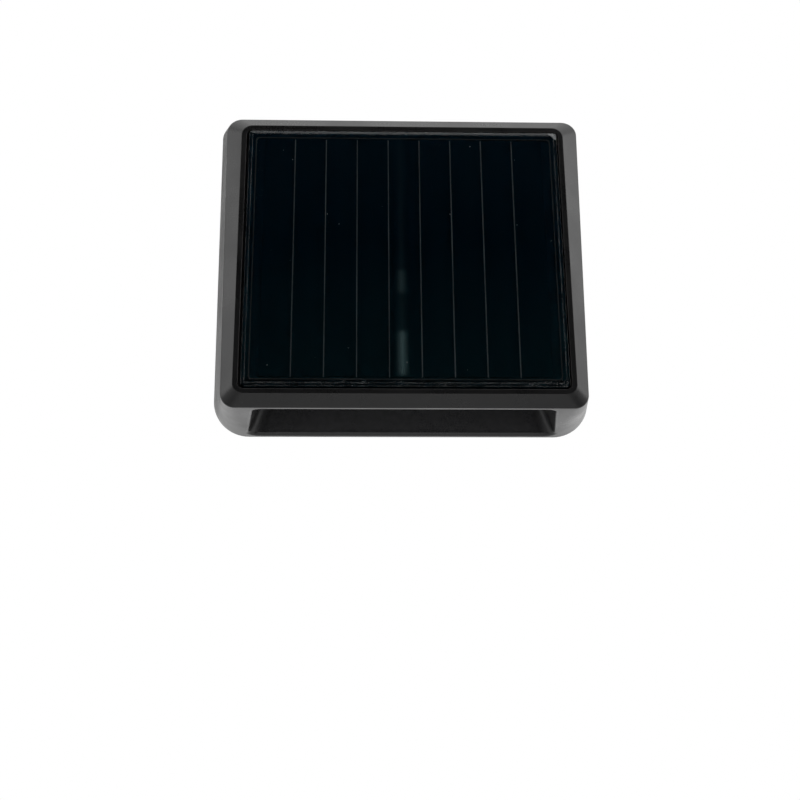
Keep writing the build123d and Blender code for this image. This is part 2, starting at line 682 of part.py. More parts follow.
def add_keyhole(cover, x, z):
    """Cover with one closed keyhole cup, open towards the wall."""
    room = KEYHOLE_ENTRY_RADIUS + KEYHOLE_CUP_MARGIN
    cup_end = COVER_THICKNESS + KEYHOLE_CUP_DEPTH
    cover += upright_slot(x, z, room + KEYHOLE_CUP_WALL, 0, cup_end + KEYHOLE_CUP_WALL)
    cover -= upright_slot(x, z, room, COVER_THICKNESS, cup_end)
    cover -= peg(x, z, KEYHOLE_ENTRY_RADIUS, 0, COVER_THICKNESS)
    cover -= upright_slot(x, z, KEYHOLE_SLOT_RADIUS, 0, COVER_THICKNESS)
    return cover


def cover_seal():
    """Soft flat ring between the cover and the housing's ledge."""
    outer = offset(cover_opening(), -SEAL_INSET)
    inner = offset(cover_opening(), -SEAL_INSET - SEAL_WIDTH)
    return Pos(0, -COVER_THICKNESS, 0) * extrude(outer - inner, SEAL_THICKNESS)


# Control board

def control_board():
    """Board behind the cover, with clearance holes for its two screws."""
    outline = Pos(0, CONTROL_Z) * RectangleRounded(CONTROL_WIDTH, CONTROL_HEIGHT, CONTROL_CORNER)
    board = extrude(wall_plane(CONTROL_DEPTH) * outline, BOARD_THICKNESS)
    for x, z in control_screw_places():
        board -= peg(x, z, SMALL_SHANK_RADIUS + SCREW_CLEARANCE, CONTROL_DEPTH, control_front())
    return board


def control_front():
    """Depth of the control board's front face."""
    return CONTROL_DEPTH + BOARD_THICKNESS


def control_screws():
    """Two screws through the control board into the cover's posts."""
    seats = [wall_spot(x, z, control_front()) for x, z in control_screw_places()]
    return group("control_screws", [pan_screw(seat) for seat in seats])


def control_chip():
    """Charge and mode controller."""
    face = wall_plane(control_front()) * Pos(0, CONTROL_Z + PART_ROW_Z) * Rectangle(CHIP_WIDTH, CHIP_HEIGHT)
    return extrude(face, CHIP_THICKNESS)


def drive_coil():
    """Drum coil of the lamp driver, with a waist between its rims."""
    near = control_front()
    x = -PART_ROW_X
    z = CONTROL_Z + PART_ROW_Z
    rims = peg(x, z, COIL_RADIUS, near, near + COIL_RIM)
    rims += peg(x, z, COIL_RADIUS, near + COIL_HEIGHT - COIL_RIM, near + COIL_HEIGHT)
    return rims + peg(x, z, COIL_CORE_RADIUS, near, near + COIL_HEIGHT)


def front_wall_depth(z):
    """Depth of the front wall's inner face at a height."""
    return BODY_DEPTH - (z - BOTTOM_Z) * tan(TILT) - FRONT_BACK / cos(TILT)


def capacitor():
    """Upright storage capacitor with a rounded can, as tall as the front wall allows."""
    z = CONTROL_Z + PART_ROW_Z
    far = front_wall_depth(z + CAPACITOR_RADIUS) - CAPACITOR_CLEARANCE
    can = peg(PART_ROW_X, z, CAPACITOR_RADIUS, control_front(), far)
    return fillet(can.faces().sort_by(Axis.Y)[0].edges(), CAPACITOR_ROUND)


def socket_xs():
    """Middles of the three lead sockets: lamp, battery and panel."""
    return [slot * SOCKET_PITCH for slot in (-1, 0, 1)]


def lead_sockets():
    """Three two-pole sockets along the lower edge of the control board, open downwards."""
    solids = []
    for x in socket_xs():
        face = Pos(x, CONTROL_Z - SOCKET_DROP) * Rectangle(SOCKET_WIDTH, SOCKET_HEIGHT)
        solids.append(extrude(wall_plane(control_front()) * face, SOCKET_THICKNESS))
    return group("lead_sockets", solids)


# Mode button and its switch

def button_flange_depth():
    """Depth of the outer face of the button's flange, just inside the collar."""
    return COVER_THICKNESS + COLLAR_LENGTH + BUTTON_FLANGE_GAP


def switch_tip_depth():
    """Depth of the tip of the switch stem at rest."""
    return CONTROL_DEPTH - SWITCH_HEIGHT - SWITCH_STEM_PROUD


def mode_button():
    """Push button with a dished cap, a flange that keeps it in and a post on the switch stem."""
    flange = button_flange_depth()
    cap = peg(0, CONTROL_Z, BUTTON_RADIUS, BUTTON_DROP, flange)
    cap = fillet(cap.faces().sort_by(Axis.Y)[-1].edges(), BUTTON_ROUND)
    dish_middle = BUTTON_DROP + BUTTON_DISH_DEPTH - BUTTON_DISH_RADIUS
    cap -= Pos(0, -dish_middle, CONTROL_Z) * Sphere(BUTTON_DISH_RADIUS)
    button = cap + peg(0, CONTROL_Z, BUTTON_FLANGE_RADIUS, flange, flange + BUTTON_FLANGE_THICKNESS)
    return button + peg(0, CONTROL_Z, BUTTON_POST_RADIUS, flange, switch_tip_depth())


def button_seal():
    """Seal ring in the collar around the mode button."""
    middle = BUTTON_RADIUS + RING_FIT + RING_RADIUS
    place = Plane(origin=(0, -ring_depth(), CONTROL_Z), x_dir=(1, 0, 0), z_dir=(0, 1, 0))
    return place * Torus(middle, RING_RADIUS)


def switch_body():
    """Housing of the push switch on the control board."""
    near = CONTROL_DEPTH - SWITCH_HEIGHT
    face = wall_plane(near) * Pos(0, CONTROL_Z) * Rectangle(SWITCH_SIZE, SWITCH_SIZE)
    bore_end = near + SWITCH_STEM_INSIDE + BUTTON_TRAVEL + SWITCH_BORE_SPARE
    bore = peg(0, CONTROL_Z, SWITCH_STEM_RADIUS + SWITCH_BORE_CLEARANCE, near, bore_end)
    return extrude(face, SWITCH_HEIGHT) - bore


def switch_stem():
    """Stem of the push switch, which the button carries along."""
    near = switch_tip_depth()
    return peg(0, CONTROL_Z, SWITCH_STEM_RADIUS, near, near + SWITCH_STEM_PROUD + SWITCH_STEM_INSIDE)


# Battery

def battery_depth():
    """Depth of the cell's axis."""
    return COVER_THICKNESS + CRADLE_WALL + BATTERY_CLEARANCE + BATTERY_RADIUS


def across(x):
    """Plane square to the cell's axis, facing +X."""
    return Plane(origin=(x, -battery_depth(), BATTERY_Z), x_dir=(0, 1, 0), z_dir=(1, 0, 0))


def battery_cell():
    """Round cell with a raised positive end."""
    can_length = BATTERY_LENGTH - BATTERY_NUB_HEIGHT
    can = extrude(across(-BATTERY_LENGTH / 2) * Circle(BATTERY_RADIUS), can_length)
    can = fillet(can.edges().filter_by(GeomType.CIRCLE), BATTERY_ROUND)
    return can + extrude(across(-BATTERY_LENGTH / 2) * Circle(BATTERY_NUB_RADIUS), BATTERY_LENGTH)


def battery_cradle():
    """Open trough on the cover, with end walls for the contacts and an ear at each end."""
    half_length = cradle_half_length() + CRADLE_WALL
    outline = Pos(0, BATTERY_Z) * Rectangle(2 * half_length, 2 * CRADLE_HALF_HEIGHT)
    block = extrude(wall_plane(COVER_THICKNESS) * outline, battery_depth() - COVER_THICKNESS)
    long_edges = block.edges().filter_by(Axis.X).sort_by(Axis.Y)[-2:]
    block = fillet(long_edges, CRADLE_ROUND)
    room = Circle(BATTERY_RADIUS + BATTERY_CLEARANCE)
    block -= extrude(across(-cradle_half_length()) * room, 2 * cradle_half_length())
    ear_near = COVER_THICKNESS + CRADLE_POST_HEIGHT
    for x, z in cradle_screw_places():
        ear = wall_plane(ear_near) * Pos(x, z) * Rectangle(CRADLE_EAR_LENGTH, CRADLE_EAR_HEIGHT)
        block += extrude(ear, CRADLE_EAR_THICKNESS)
    for x, z in cradle_screw_places():
        block -= peg(x, z, SMALL_SHANK_RADIUS + SCREW_CLEARANCE, ear_near, ear_near + CRADLE_EAR_THICKNESS)
    return block


def cradle_screws():
    """Two screws through the cradle's ears into the cover's posts."""
    seat = COVER_THICKNESS + CRADLE_POST_HEIGHT + CRADLE_EAR_THICKNESS
    places = [wall_spot(x, z, seat) for x, z in cradle_screw_places()]
    return group("cradle_screws", [pan_screw(place) for place in places])


def battery_contact(side):
    """Bowed leaf between the cell's end and the cradle's end wall, with a solder tab."""
    wall_x = cradle_half_length()
    plate_x = wall_x - CONTACT_THICKNESS
    tip_x = BATTERY_LENGTH / 2
    half = CONTACT_SPAN / 2
    middle = battery_depth()
    inner_half = half - CONTACT_THICKNESS
    inner_tip = (tip_x + CONTACT_THICKNESS, middle)
    outer_bow = ThreePointArc((plate_x, middle - half), (tip_x, middle), (plate_x, middle + half))
    inner_bow = ThreePointArc((plate_x, middle + inner_half), inner_tip, (plate_x, middle - inner_half))
    ends = [Line(outer_bow @ 1, inner_bow @ 0), Line(inner_bow @ 1, outer_bow @ 0)]
    level = Plane(origin=(0, 0, BATTERY_Z - CONTACT_WIDTH / 2), x_dir=(1, 0, 0), z_dir=(0, 0, 1))
    bow = make_face([outer_bow.edge(), ends[0].edge(), inner_bow.edge(), ends[1].edge()])
    leaf = extrude(level * mirror(bow, Plane.XZ), CONTACT_WIDTH)
    plate = Pos(plate_x + CONTACT_THICKNESS / 2, -middle, BATTERY_Z) * Box(
        CONTACT_THICKNESS, CONTACT_SPAN, CONTACT_WIDTH)
    tab_middle = middle + half + CONTACT_TAB_LENGTH / 2
    tab = Pos(plate_x + CONTACT_THICKNESS / 2, -tab_middle, BATTERY_Z) * Box(
        CONTACT_THICKNESS, CONTACT_TAB_LENGTH, CONTACT_TAB_WIDTH)
    contact = leaf + plate + tab
    return contact if side > 0 else mirror(contact, Plane.YZ)


# Leads inside the case

def lead(spots):
    """Round lead along straight runs joined by arcs as wide as the runs allow."""
    runs = [after - before for before, after in zip(spots, spots[1:])]
    radii = []
    for before, after in zip(runs, runs[1:]):
        turn = radians(before.get_angle(after))
        radii.append(LEAD_BEND_SHARE * min(before.length, after.length) / tan(turn / 2))
    print("lead radii", [round(radius, 1) for radius in radii])
    path = FilletPolyline(*spots, radius=radii)
    start = Plane(origin=spots[0], z_dir=runs[0])
    return sweep(start * Circle(LEAD_RADIUS), path=path)


def socket_mouth(x):
    """Place where a lead enters a socket from below."""
    depth = control_front() + SOCKET_THICKNESS / 2
    return Vector(x, -depth, CONTROL_Z - SOCKET_DROP - SOCKET_HEIGHT / 2)


def below_mouth(mouth):
    """Place where a lead's last straight run to a socket begins."""
    return mouth - Vector(0, 0, LEAD_MOUTH_RUN)


def lead_side_x():
    """Distance from the middle to the leads that pass the end of the cradle."""
    return cradle_half_length() + CRADLE_WALL + LEAD_SIDE_ROOM


def lead_row_z():
    """Height of the lamp and panel leads, just above the top of the cradle."""
    return BATTERY_Z + CRADLE_HALF_HEIGHT + LEAD_RADIUS


def battery_leads():
    """One lead from each contact's solder tab, up past the cell's end and along to the middle socket."""
    tab_depth = battery_depth() + CONTACT_SPAN / 2 + CONTACT_TAB_LENGTH / 2
    row_z = BATTERY_Z + CRADLE_HALF_HEIGHT - LEAD_CELL_DROP
    solids = []
    for side in (-1, 1):
        mouth = socket_mouth(side * LEAD_SPACING / 2)
        tab = Vector(side * cradle_half_length(), -tab_depth, BATTERY_Z)
        beside_tab = Vector(side * lead_side_x(), -tab_depth, BATTERY_Z)
        corner = Vector(side * lead_side_x(), -tab_depth, row_z)
        below_socket = Vector(mouth.X, mouth.Y - 2 * LEAD_SPACING, row_z)
        solids.append(lead([tab, beside_tab, corner, below_socket, below_mouth(mouth), mouth]))
    return group("battery_leads", solids)


def lamp_leads():
    """Three leads from the lamp board's end, up past the end of the cradle and along to the left socket."""
    pad_x = LAMP_BOARD_WIDTH / 2 - LEAD_PAD_LENGTH
    off_board_x = LAMP_BOARD_WIDTH / 2 + LEAD_PAD_LENGTH
    pad_z = LAMP_BOARD_TOP + LEAD_RADIUS
    solids = []
    for slot in (-1, 0, 1):
        mouth = socket_mouth(socket_xs()[0] + slot * LEAD_SPACING)
        depth = LEAD_ROW_DEPTH + slot * LEAD_SPACING
        flat_places = [
            (-pad_x, pad_z),
            (-off_board_x, pad_z),
            (-lead_side_x(), BATTERY_Z - CRADLE_HALF_HEIGHT / 2),
            (-lead_side_x(), lead_row_z()),
            (mouth.X, lead_row_z()),
        ]
        spots = [Vector(x, -depth, z) for x, z in flat_places]
        solids.append(lead(spots + [below_mouth(mouth), mouth]))
    return group("lamp_leads", solids)


def panel_leads():
    """Two leads from the back of the panel, through the pocket floor to the right socket."""
    hole_x, hole_rise = panel_lead_place()
    solids = []
    for side in (-1, 1):
        mouth = socket_mouth(hole_x + side * LEAD_SPACING / 2)
        start = front_plane(FLOOR_HEIGHT + TAPE_THICKNESS).from_local_coords(Vector(mouth.X, hole_rise, 0))
        inside = start - FRONT.z_dir * LEAD_HOLE_RUN
        below_socket = Vector(mouth.X, mouth.Y, lead_row_z())
        solids.append(lead([start, inside, below_socket, mouth]))
    return group("panel_leads", solids)


def nodes():
    """Every piece of the light by its node name."""
    return {
        "front_housing": front_housing(),
        "rear_cover": rear_cover(),
        "cover_seal": cover_seal(),
        "cover_screws": group("cover_screws", [cover_screw(x, z) for x, z in cover_screw_places()]),
        "panel_tape": panel_tape(),
        "panel_board": panel_board(),
        "solar_cells": solar_cells(),
        "cell_ribbons": cell_ribbons(),
        "panel_glass": panel_glass(),
        "light_lens": light_lens(),
        "lens_seal": lens_seal(),
        "lamp_board": lamp_board(),
        "warm_led": light_source(-1),
        "neutral_led": light_source(0),
        "cool_led": light_source(1),
        "lamp_screws": lamp_screws(),
        "control_board": control_board(),
        "control_screws": control_screws(),
        "control_chip": control_chip(),
        "drive_coil": drive_coil(),
        "capacitor": capacitor(),
        "lead_sockets": lead_sockets(),
        "switch_body": switch_body(),
        "switch_stem": switch_stem(),
        "mode_button": mode_button(),
        "button_seal": button_seal(),
        "battery_cell": battery_cell(),
        "battery_cradle": battery_cradle(),
        "cradle_screws": cradle_screws(),
        "positive_contact": battery_contact(1),
        "negative_contact": battery_contact(-1),
        "battery_leads": battery_leads(),
        "lamp_leads": lamp_leads(),
        "panel_leads": panel_leads(),
    }


def main():
    """Write one file for each piece."""
    os.makedirs("parts", exist_ok=True)
    for name, piece in nodes().items():
        export_step(piece, f"parts/{name}.step")


main()
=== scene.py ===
import logging
import math
from dataclasses import dataclass
from enum import Enum
from typing import NamedTuple

import bmesh
import bpy
from mathutils import Matrix, Vector


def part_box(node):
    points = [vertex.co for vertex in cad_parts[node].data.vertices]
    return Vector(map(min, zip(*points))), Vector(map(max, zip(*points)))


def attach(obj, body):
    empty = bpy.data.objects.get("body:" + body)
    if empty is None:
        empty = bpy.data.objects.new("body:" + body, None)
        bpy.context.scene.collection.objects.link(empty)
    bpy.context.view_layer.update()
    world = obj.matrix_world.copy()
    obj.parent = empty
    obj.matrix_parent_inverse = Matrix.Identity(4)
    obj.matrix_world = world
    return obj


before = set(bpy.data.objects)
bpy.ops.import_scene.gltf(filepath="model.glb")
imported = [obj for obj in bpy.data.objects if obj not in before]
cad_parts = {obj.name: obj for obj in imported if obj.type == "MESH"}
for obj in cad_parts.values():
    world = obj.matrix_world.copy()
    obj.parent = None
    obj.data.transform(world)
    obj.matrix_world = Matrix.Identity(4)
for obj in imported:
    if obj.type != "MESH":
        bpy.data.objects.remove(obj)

Colour = tuple[float, float, float]
Triple = tuple[float, float, float]
Pair = tuple[float, float]
Edges = tuple[Pair, Pair]
Shades = tuple[Colour, Colour]
Mesh = bmesh.types.BMesh
Ring = list[bmesh.types.BMVert]
Socket = bpy.types.NodeSocket
Value = Socket | Vector | tuple[float, ...] | float

MM = 0.001
CLEAR_PLASTIC_IOR = 1.49
# Range in which a cloudy pattern mostly lies, and a narrower one that gives sharper patches.
CLOUD = (0.3, 0.7)
PATCHES = (0.35, 0.65)
# Cosine between the true normal and the rounded one, on a nearly flat place and on a sharp edge.
FLAT_TO_EDGE = (0.98, 0.8)
EDGE_SAMPLES = 4
# Part of a speck's radius that is at full strength.
SPECK_CORE = 0.5
# Body that carries the added pieces.
CARRIER = "lamp"
LOG = logging.getLogger("solar_wall_light")


class Side(Enum):
    """Sides of the light, seen from the front."""

    LEFT = -1
    RIGHT = 1


class Spread(Enum):
    """How a patch of noise is stretched along the axes."""

    EVEN = (1.0, 1.0, 1.0)
    UPRIGHT = (1.0, 1.0, 0.06)
    ALONG_X = (0.06, 1.0, 1.0)


class Specks(NamedTuple):
    """Round specks: metres between their places, radius as a part of that, share of the places filled."""

    spacing: float
    radius: float
    share: float


def grey(level: float) -> Colour:
    """Neutral colour of a level."""
    return (level, level, level)


def scaled(colour: Colour, factor: float) -> Colour:
    """Colour that is lighter or darker by a factor."""
    return tuple(factor * part for part in colour)


class Nodes:
    """Node tree, with short calls that add nodes and join them."""

    def __init__(self, tree: bpy.types.NodeTree) -> None:
        """Take a node tree."""
        self.tree: bpy.types.NodeTree = tree

    def put(self, value: Value, target: Socket) -> None:
        """Link a socket to an input, or set the input to a plain value.

        Args:
            value: Socket, number, vector or colour.
            target: The input.
        """
        if isinstance(value, Socket):
            self.tree.links.new(value, target)
        elif target.type == "RGBA":
            target.default_value = (*value, 1.0)
        else:
            target.default_value = value

    def node(self, kind: str, output: str, inputs: dict[str | int, Value], **settings: str | int) -> Socket:
        """Add a node and set it up.

        Args:
            kind: Blender's name of the node, without its first part.
            output: Name of the output that is wanted.
            inputs: Names or numbers of inputs, with what each gets.
            **settings: Other settings of the node.

        Returns:
            The output.
        """
        node = self.tree.nodes.new(f"ShaderNode{kind}")
        for key, value in settings.items():
            setattr(node, key, value)
        for key, value in inputs.items():
            self.put(value, node.inputs[key])
        return node.outputs[output]


class FinishSheet(Nodes):
    """Material, with short calls for the patterns that the finishes share."""

    def __init__(self, name: str) -> None:
        """Start a material with a plain shader.

        Args:
            name: Name of the material.
        """
        self.material: bpy.types.Material = bpy.data.materials.new(name)
        self.material.use_nodes = True
        super().__init__(self.material.node_tree)
        self.shader: bpy.types.Node = self.tree.nodes["Principled BSDF"]

    def shade(self, **values: Value) -> None:
        """Link or set inputs of the shader, named with underscores for spaces."""
        for key, value in values.items():
            self.put(value, self.shader.inputs[key.replace("_", " ")])

    def place(self, spread: Spread = Spread.EVEN) -> Socket:
        """Coordinates of the surface in metres, stretched along the axes."""
        inputs = {"Vector": self.node("TexCoord", "Object", {}), "Scale": spread.value}
        return inputs["Vector"] if spread is Spread.EVEN else self.node("Mapping", "Vector", inputs)

    def axis(self, name: str) -> Socket:
        """Coordinate X, Y or Z of the surface in metres."""
        return self.node("SeparateXYZ", name, {"Vector": self.place()})

    def distance(self, middle: Vector) -> Socket:
        """Distance of the surface from a point in metres."""
        return self.node("VectorMath", "Value", {0: self.place(), 1: middle}, operation="DISTANCE")

    def noise(self, size: float, detail: float = 2.0, spread: Spread = Spread.EVEN) -> Socket:
        """Cloudy pattern from 0 to 1, with patches of a size in metres and octaves of finer ones."""
        inputs = {"Scale": 1.0 / size, "Detail": detail, "Vector": self.place(spread)}
        return self.node("TexNoise", "Fac", inputs)

    def specks(self, specks: Specks) -> Socket:
        """Scattered round specks, fainter or stronger by chance.

        Args:
            specks: Their spacing, radius and share.

        Returns:
            Value socket, above 0 on a speck.
        """
        places = {"Scale": 1.0 / specks.spacing, "Vector": self.place()}
        distance = self.node("TexVoronoi", "Distance", places)
        chance = self.node("SeparateColor", "Red", {"Color": distance.node.outputs["Color"]})
        near = self.span(distance, specks.radius, specks.radius * SPECK_CORE)
        return self.math("MULTIPLY", near, self.span(chance, specks.share, 0.0))

    def span(self, source: Socket, start: float, end: float, low: float = 0.0, high: float = 1.0) -> Socket:
        """Map the range from start to end to the one from low to high, and hold it at both ends."""
        inputs = {"Value": source, "From Min": start, "From Max": end, "To Min": low, "To Max": high}
        return self.node("MapRange", "Result", inputs)

    def vary(self, pattern: Socket, results: Pair) -> Socket:
        """Map the usual range of a cloudy pattern to another range."""
        return self.span(pattern, *CLOUD, *results)

    def broken(self, size: float, cover: Pair) -> Socket:
        """Sharp patches of a size, which cover less or more of what is under them."""
        return self.span(self.noise(size, detail=3.0), *PATCHES, *cover)

    def gloss(self, size: float, roughness: Pair) -> Socket:
        """Roughness that drifts with a cloudy pattern of a size."""
        return self.vary(self.noise(size), roughness)

    def math(self, operation: str, first: Socket, second: Socket | float = 0.0) -> Socket:
        """Combine two values, or change one."""
        return self.node("Math", "Value", {0: first, 1: second}, operation=operation)

    def tint(self, source: Socket, stops: list[tuple[float, Colour]]) -> Socket:
        """Colour that follows a value.

        Args:
            source: Value socket.
            stops: Places from 0 to 1 with their colours.

        Returns:
            Colour socket.
        """
        colour = self.node("ValToRGB", "Color", {"Fac": source})
        elements = colour.node.color_ramp.elements
        while len(elements) < len(stops):
            elements.new(1.0)
        for element, (place, shade) in zip(elements, stops):
            element.position = place
            element.color = (*shade, 1.0)
        return colour

    def mottle(self, pattern: Socket, first: Colour, second: Colour, places: Pair = CLOUD) -> Socket:
        """Colour that drifts from one to another with a cloudy pattern."""
        return self.tint(pattern, list(zip(places, (first, second))))

    def overlay(self, mask: Socket, below: Socket, colour: Colour) -> Socket:
        """Colour laid over another where a mask is 1."""
        return self.node("Mix", "Result", {"Factor": mask, "A": below, "B": colour}, data_type="RGBA")

    def rounding(self, radius: float) -> Socket:
        """Normal that turns smoothly over a sharp edge, with a radius in metres."""
        return self.node("Bevel", "Normal", {"Radius": radius}, samples=EDGE_SAMPLES)

    def worn_edge(self, radius: float) -> Socket:
        """Mask of sharp edges that hands and tools have rubbed.

        Args:
            radius: Width of the rubbed strip in metres.

        Returns:
            Value socket, 1 on an edge.
        """
        normals = {0: self.rounding(radius), 1: self.node("NewGeometry", "Normal", {})}
        cosine = self.node("VectorMath", "Value", normals, operation="DOT_PRODUCT")
        return self.span(cosine, *FLAT_TO_EDGE)

    def relief(self, height: Socket, depth: float, strength: float) -> Socket:
        """Bump from a height pattern, with its depth in metres and the share of it that shows."""
        return self.node("Bump", "Normal", {"Distance": depth, "Strength": strength, "Height": height})


@dataclass(frozen=True)
class Finish:
    """Finish of a surface."""

    name: str

    def make(self) -> bpy.types.Material:
        """Build the material.

        Returns:
            The material.
        """
        sheet = FinishSheet(self.name)
        self.paint(sheet)
        return sheet.material

    def paint(self, sheet: FinishSheet) -> None:
        """Add the finish to a sheet; each kind of finish has its own way."""
        raise NotImplementedError


@dataclass(frozen=True)
class PaintedRecessLight:
    """Painted light: a lighter grey laid inside a box-shaped recess, standing in for light that reaches it
    from below.
    """

    low: Triple
    high: Triple
    fade: Triple = (6.0 * MM, 1.0 * MM, 2.0 * MM)
    patch: float = 1.6 * MM
    patch_range: Pair = (0.25, 0.7)
    cover: Pair = (0.6, 1.0)
    # Grey of the painted light.
    colour: Colour = (0.043, 0.043, 0.045)

    def mask(self, sheet: FinishSheet) -> Socket:
        """Mask of the recess where the light is painted, broken up a little.

        Args:
            sheet: Sheet to build it in.

        Returns:
            Value socket, 1 where the light is painted.
        """
        inside = sheet.span(sheet.noise(self.patch, detail=3.0), *self.patch_range, *self.cover)
        for name, low, high, fade in zip("XYZ", self.low, self.high, self.fade):
            place = sheet.axis(name)
            inside = sheet.math("MULTIPLY", inside, sheet.span(place, low, low + fade))
            inside = sheet.math("MULTIPLY", inside, sheet.span(place, high, high - fade))
        return inside


@dataclass(frozen=True)
class MouldedPlastic(Finish):
    """Opaque moulding with a fine spark-eroded grain, faint clouding, rubbed edges and specks of lint."""

    colour: Colour
    clouding: float = 0.25
    cloud: float = 9.0 * MM
    roughness: Pair = (0.24, 0.36)
    smear: float = 14.0 * MM
    grain: float = 0.22 * MM
    grain_relief: Pair = (0.012 * MM, 0.5)
    grain_range: Pair = (0.2, 0.8)
    grain_gloss: Pair = (-0.04, 0.04)
    edge: float = 0.35 * MM
    edge_lift: float = 1.6
    edge_base: float = 0.004
    edge_round: float = 0.2 * MM
    wear: float = 1.6 * MM
    wear_cover: Pair = (0.25, 1.0)
    lint: Specks | None = None
    lint_colour: Colour = grey(0.16)
    # Painted light: a lighter grey laid in a recess, standing in for light from below.
    film: PaintedRecessLight | None = None

    def coat(self, sheet: FinishSheet) -> Socket:
        """Clouded colour with rubbed edges, painted light in a recess, and lint.

        Args:
            sheet: Sheet to build it in.

        Returns:
            Colour socket.
        """
        dark = scaled(self.colour, 1.0 - self.clouding)
        light = scaled(self.colour, 1.0 + self.clouding)
        rubbed = tuple(min(part * self.edge_lift + self.edge_base, 1.0) for part in self.colour)
        base = sheet.mottle(sheet.noise(self.cloud, detail=4.0), dark, light)
        worn = sheet.math("MULTIPLY", sheet.worn_edge(self.edge), sheet.broken(self.wear, self.wear_cover))
        coat = sheet.overlay(worn, base, rubbed)
        # Painted light: a lighter grey inside the recess.
        if self.film is not None:
            coat = sheet.overlay(self.film.mask(sheet), coat, self.film.colour)
        if self.lint is not None:
            coat = sheet.overlay(sheet.specks(self.lint), coat, self.lint_colour)
        return coat

    def paint(self, sheet: FinishSheet) -> None:
        """Add the colour, the smeared gloss and the grain.

        Args:
            sheet: Sheet to paint.
        """
        grain = sheet.noise(self.grain)
        smeared = sheet.vary(sheet.noise(self.smear, detail=3.0), self.roughness)
        fine = sheet.span(grain, *self.grain_range, *self.grain_gloss)
        bump = sheet.relief(grain, *self.grain_relief)
        sheet.put(sheet.rounding(self.edge_round), bump.node.inputs["Normal"])
        sheet.shade(Base_Color=self.coat(sheet), Roughness=sheet.math("ADD", smeared, fine), Normal=bump)


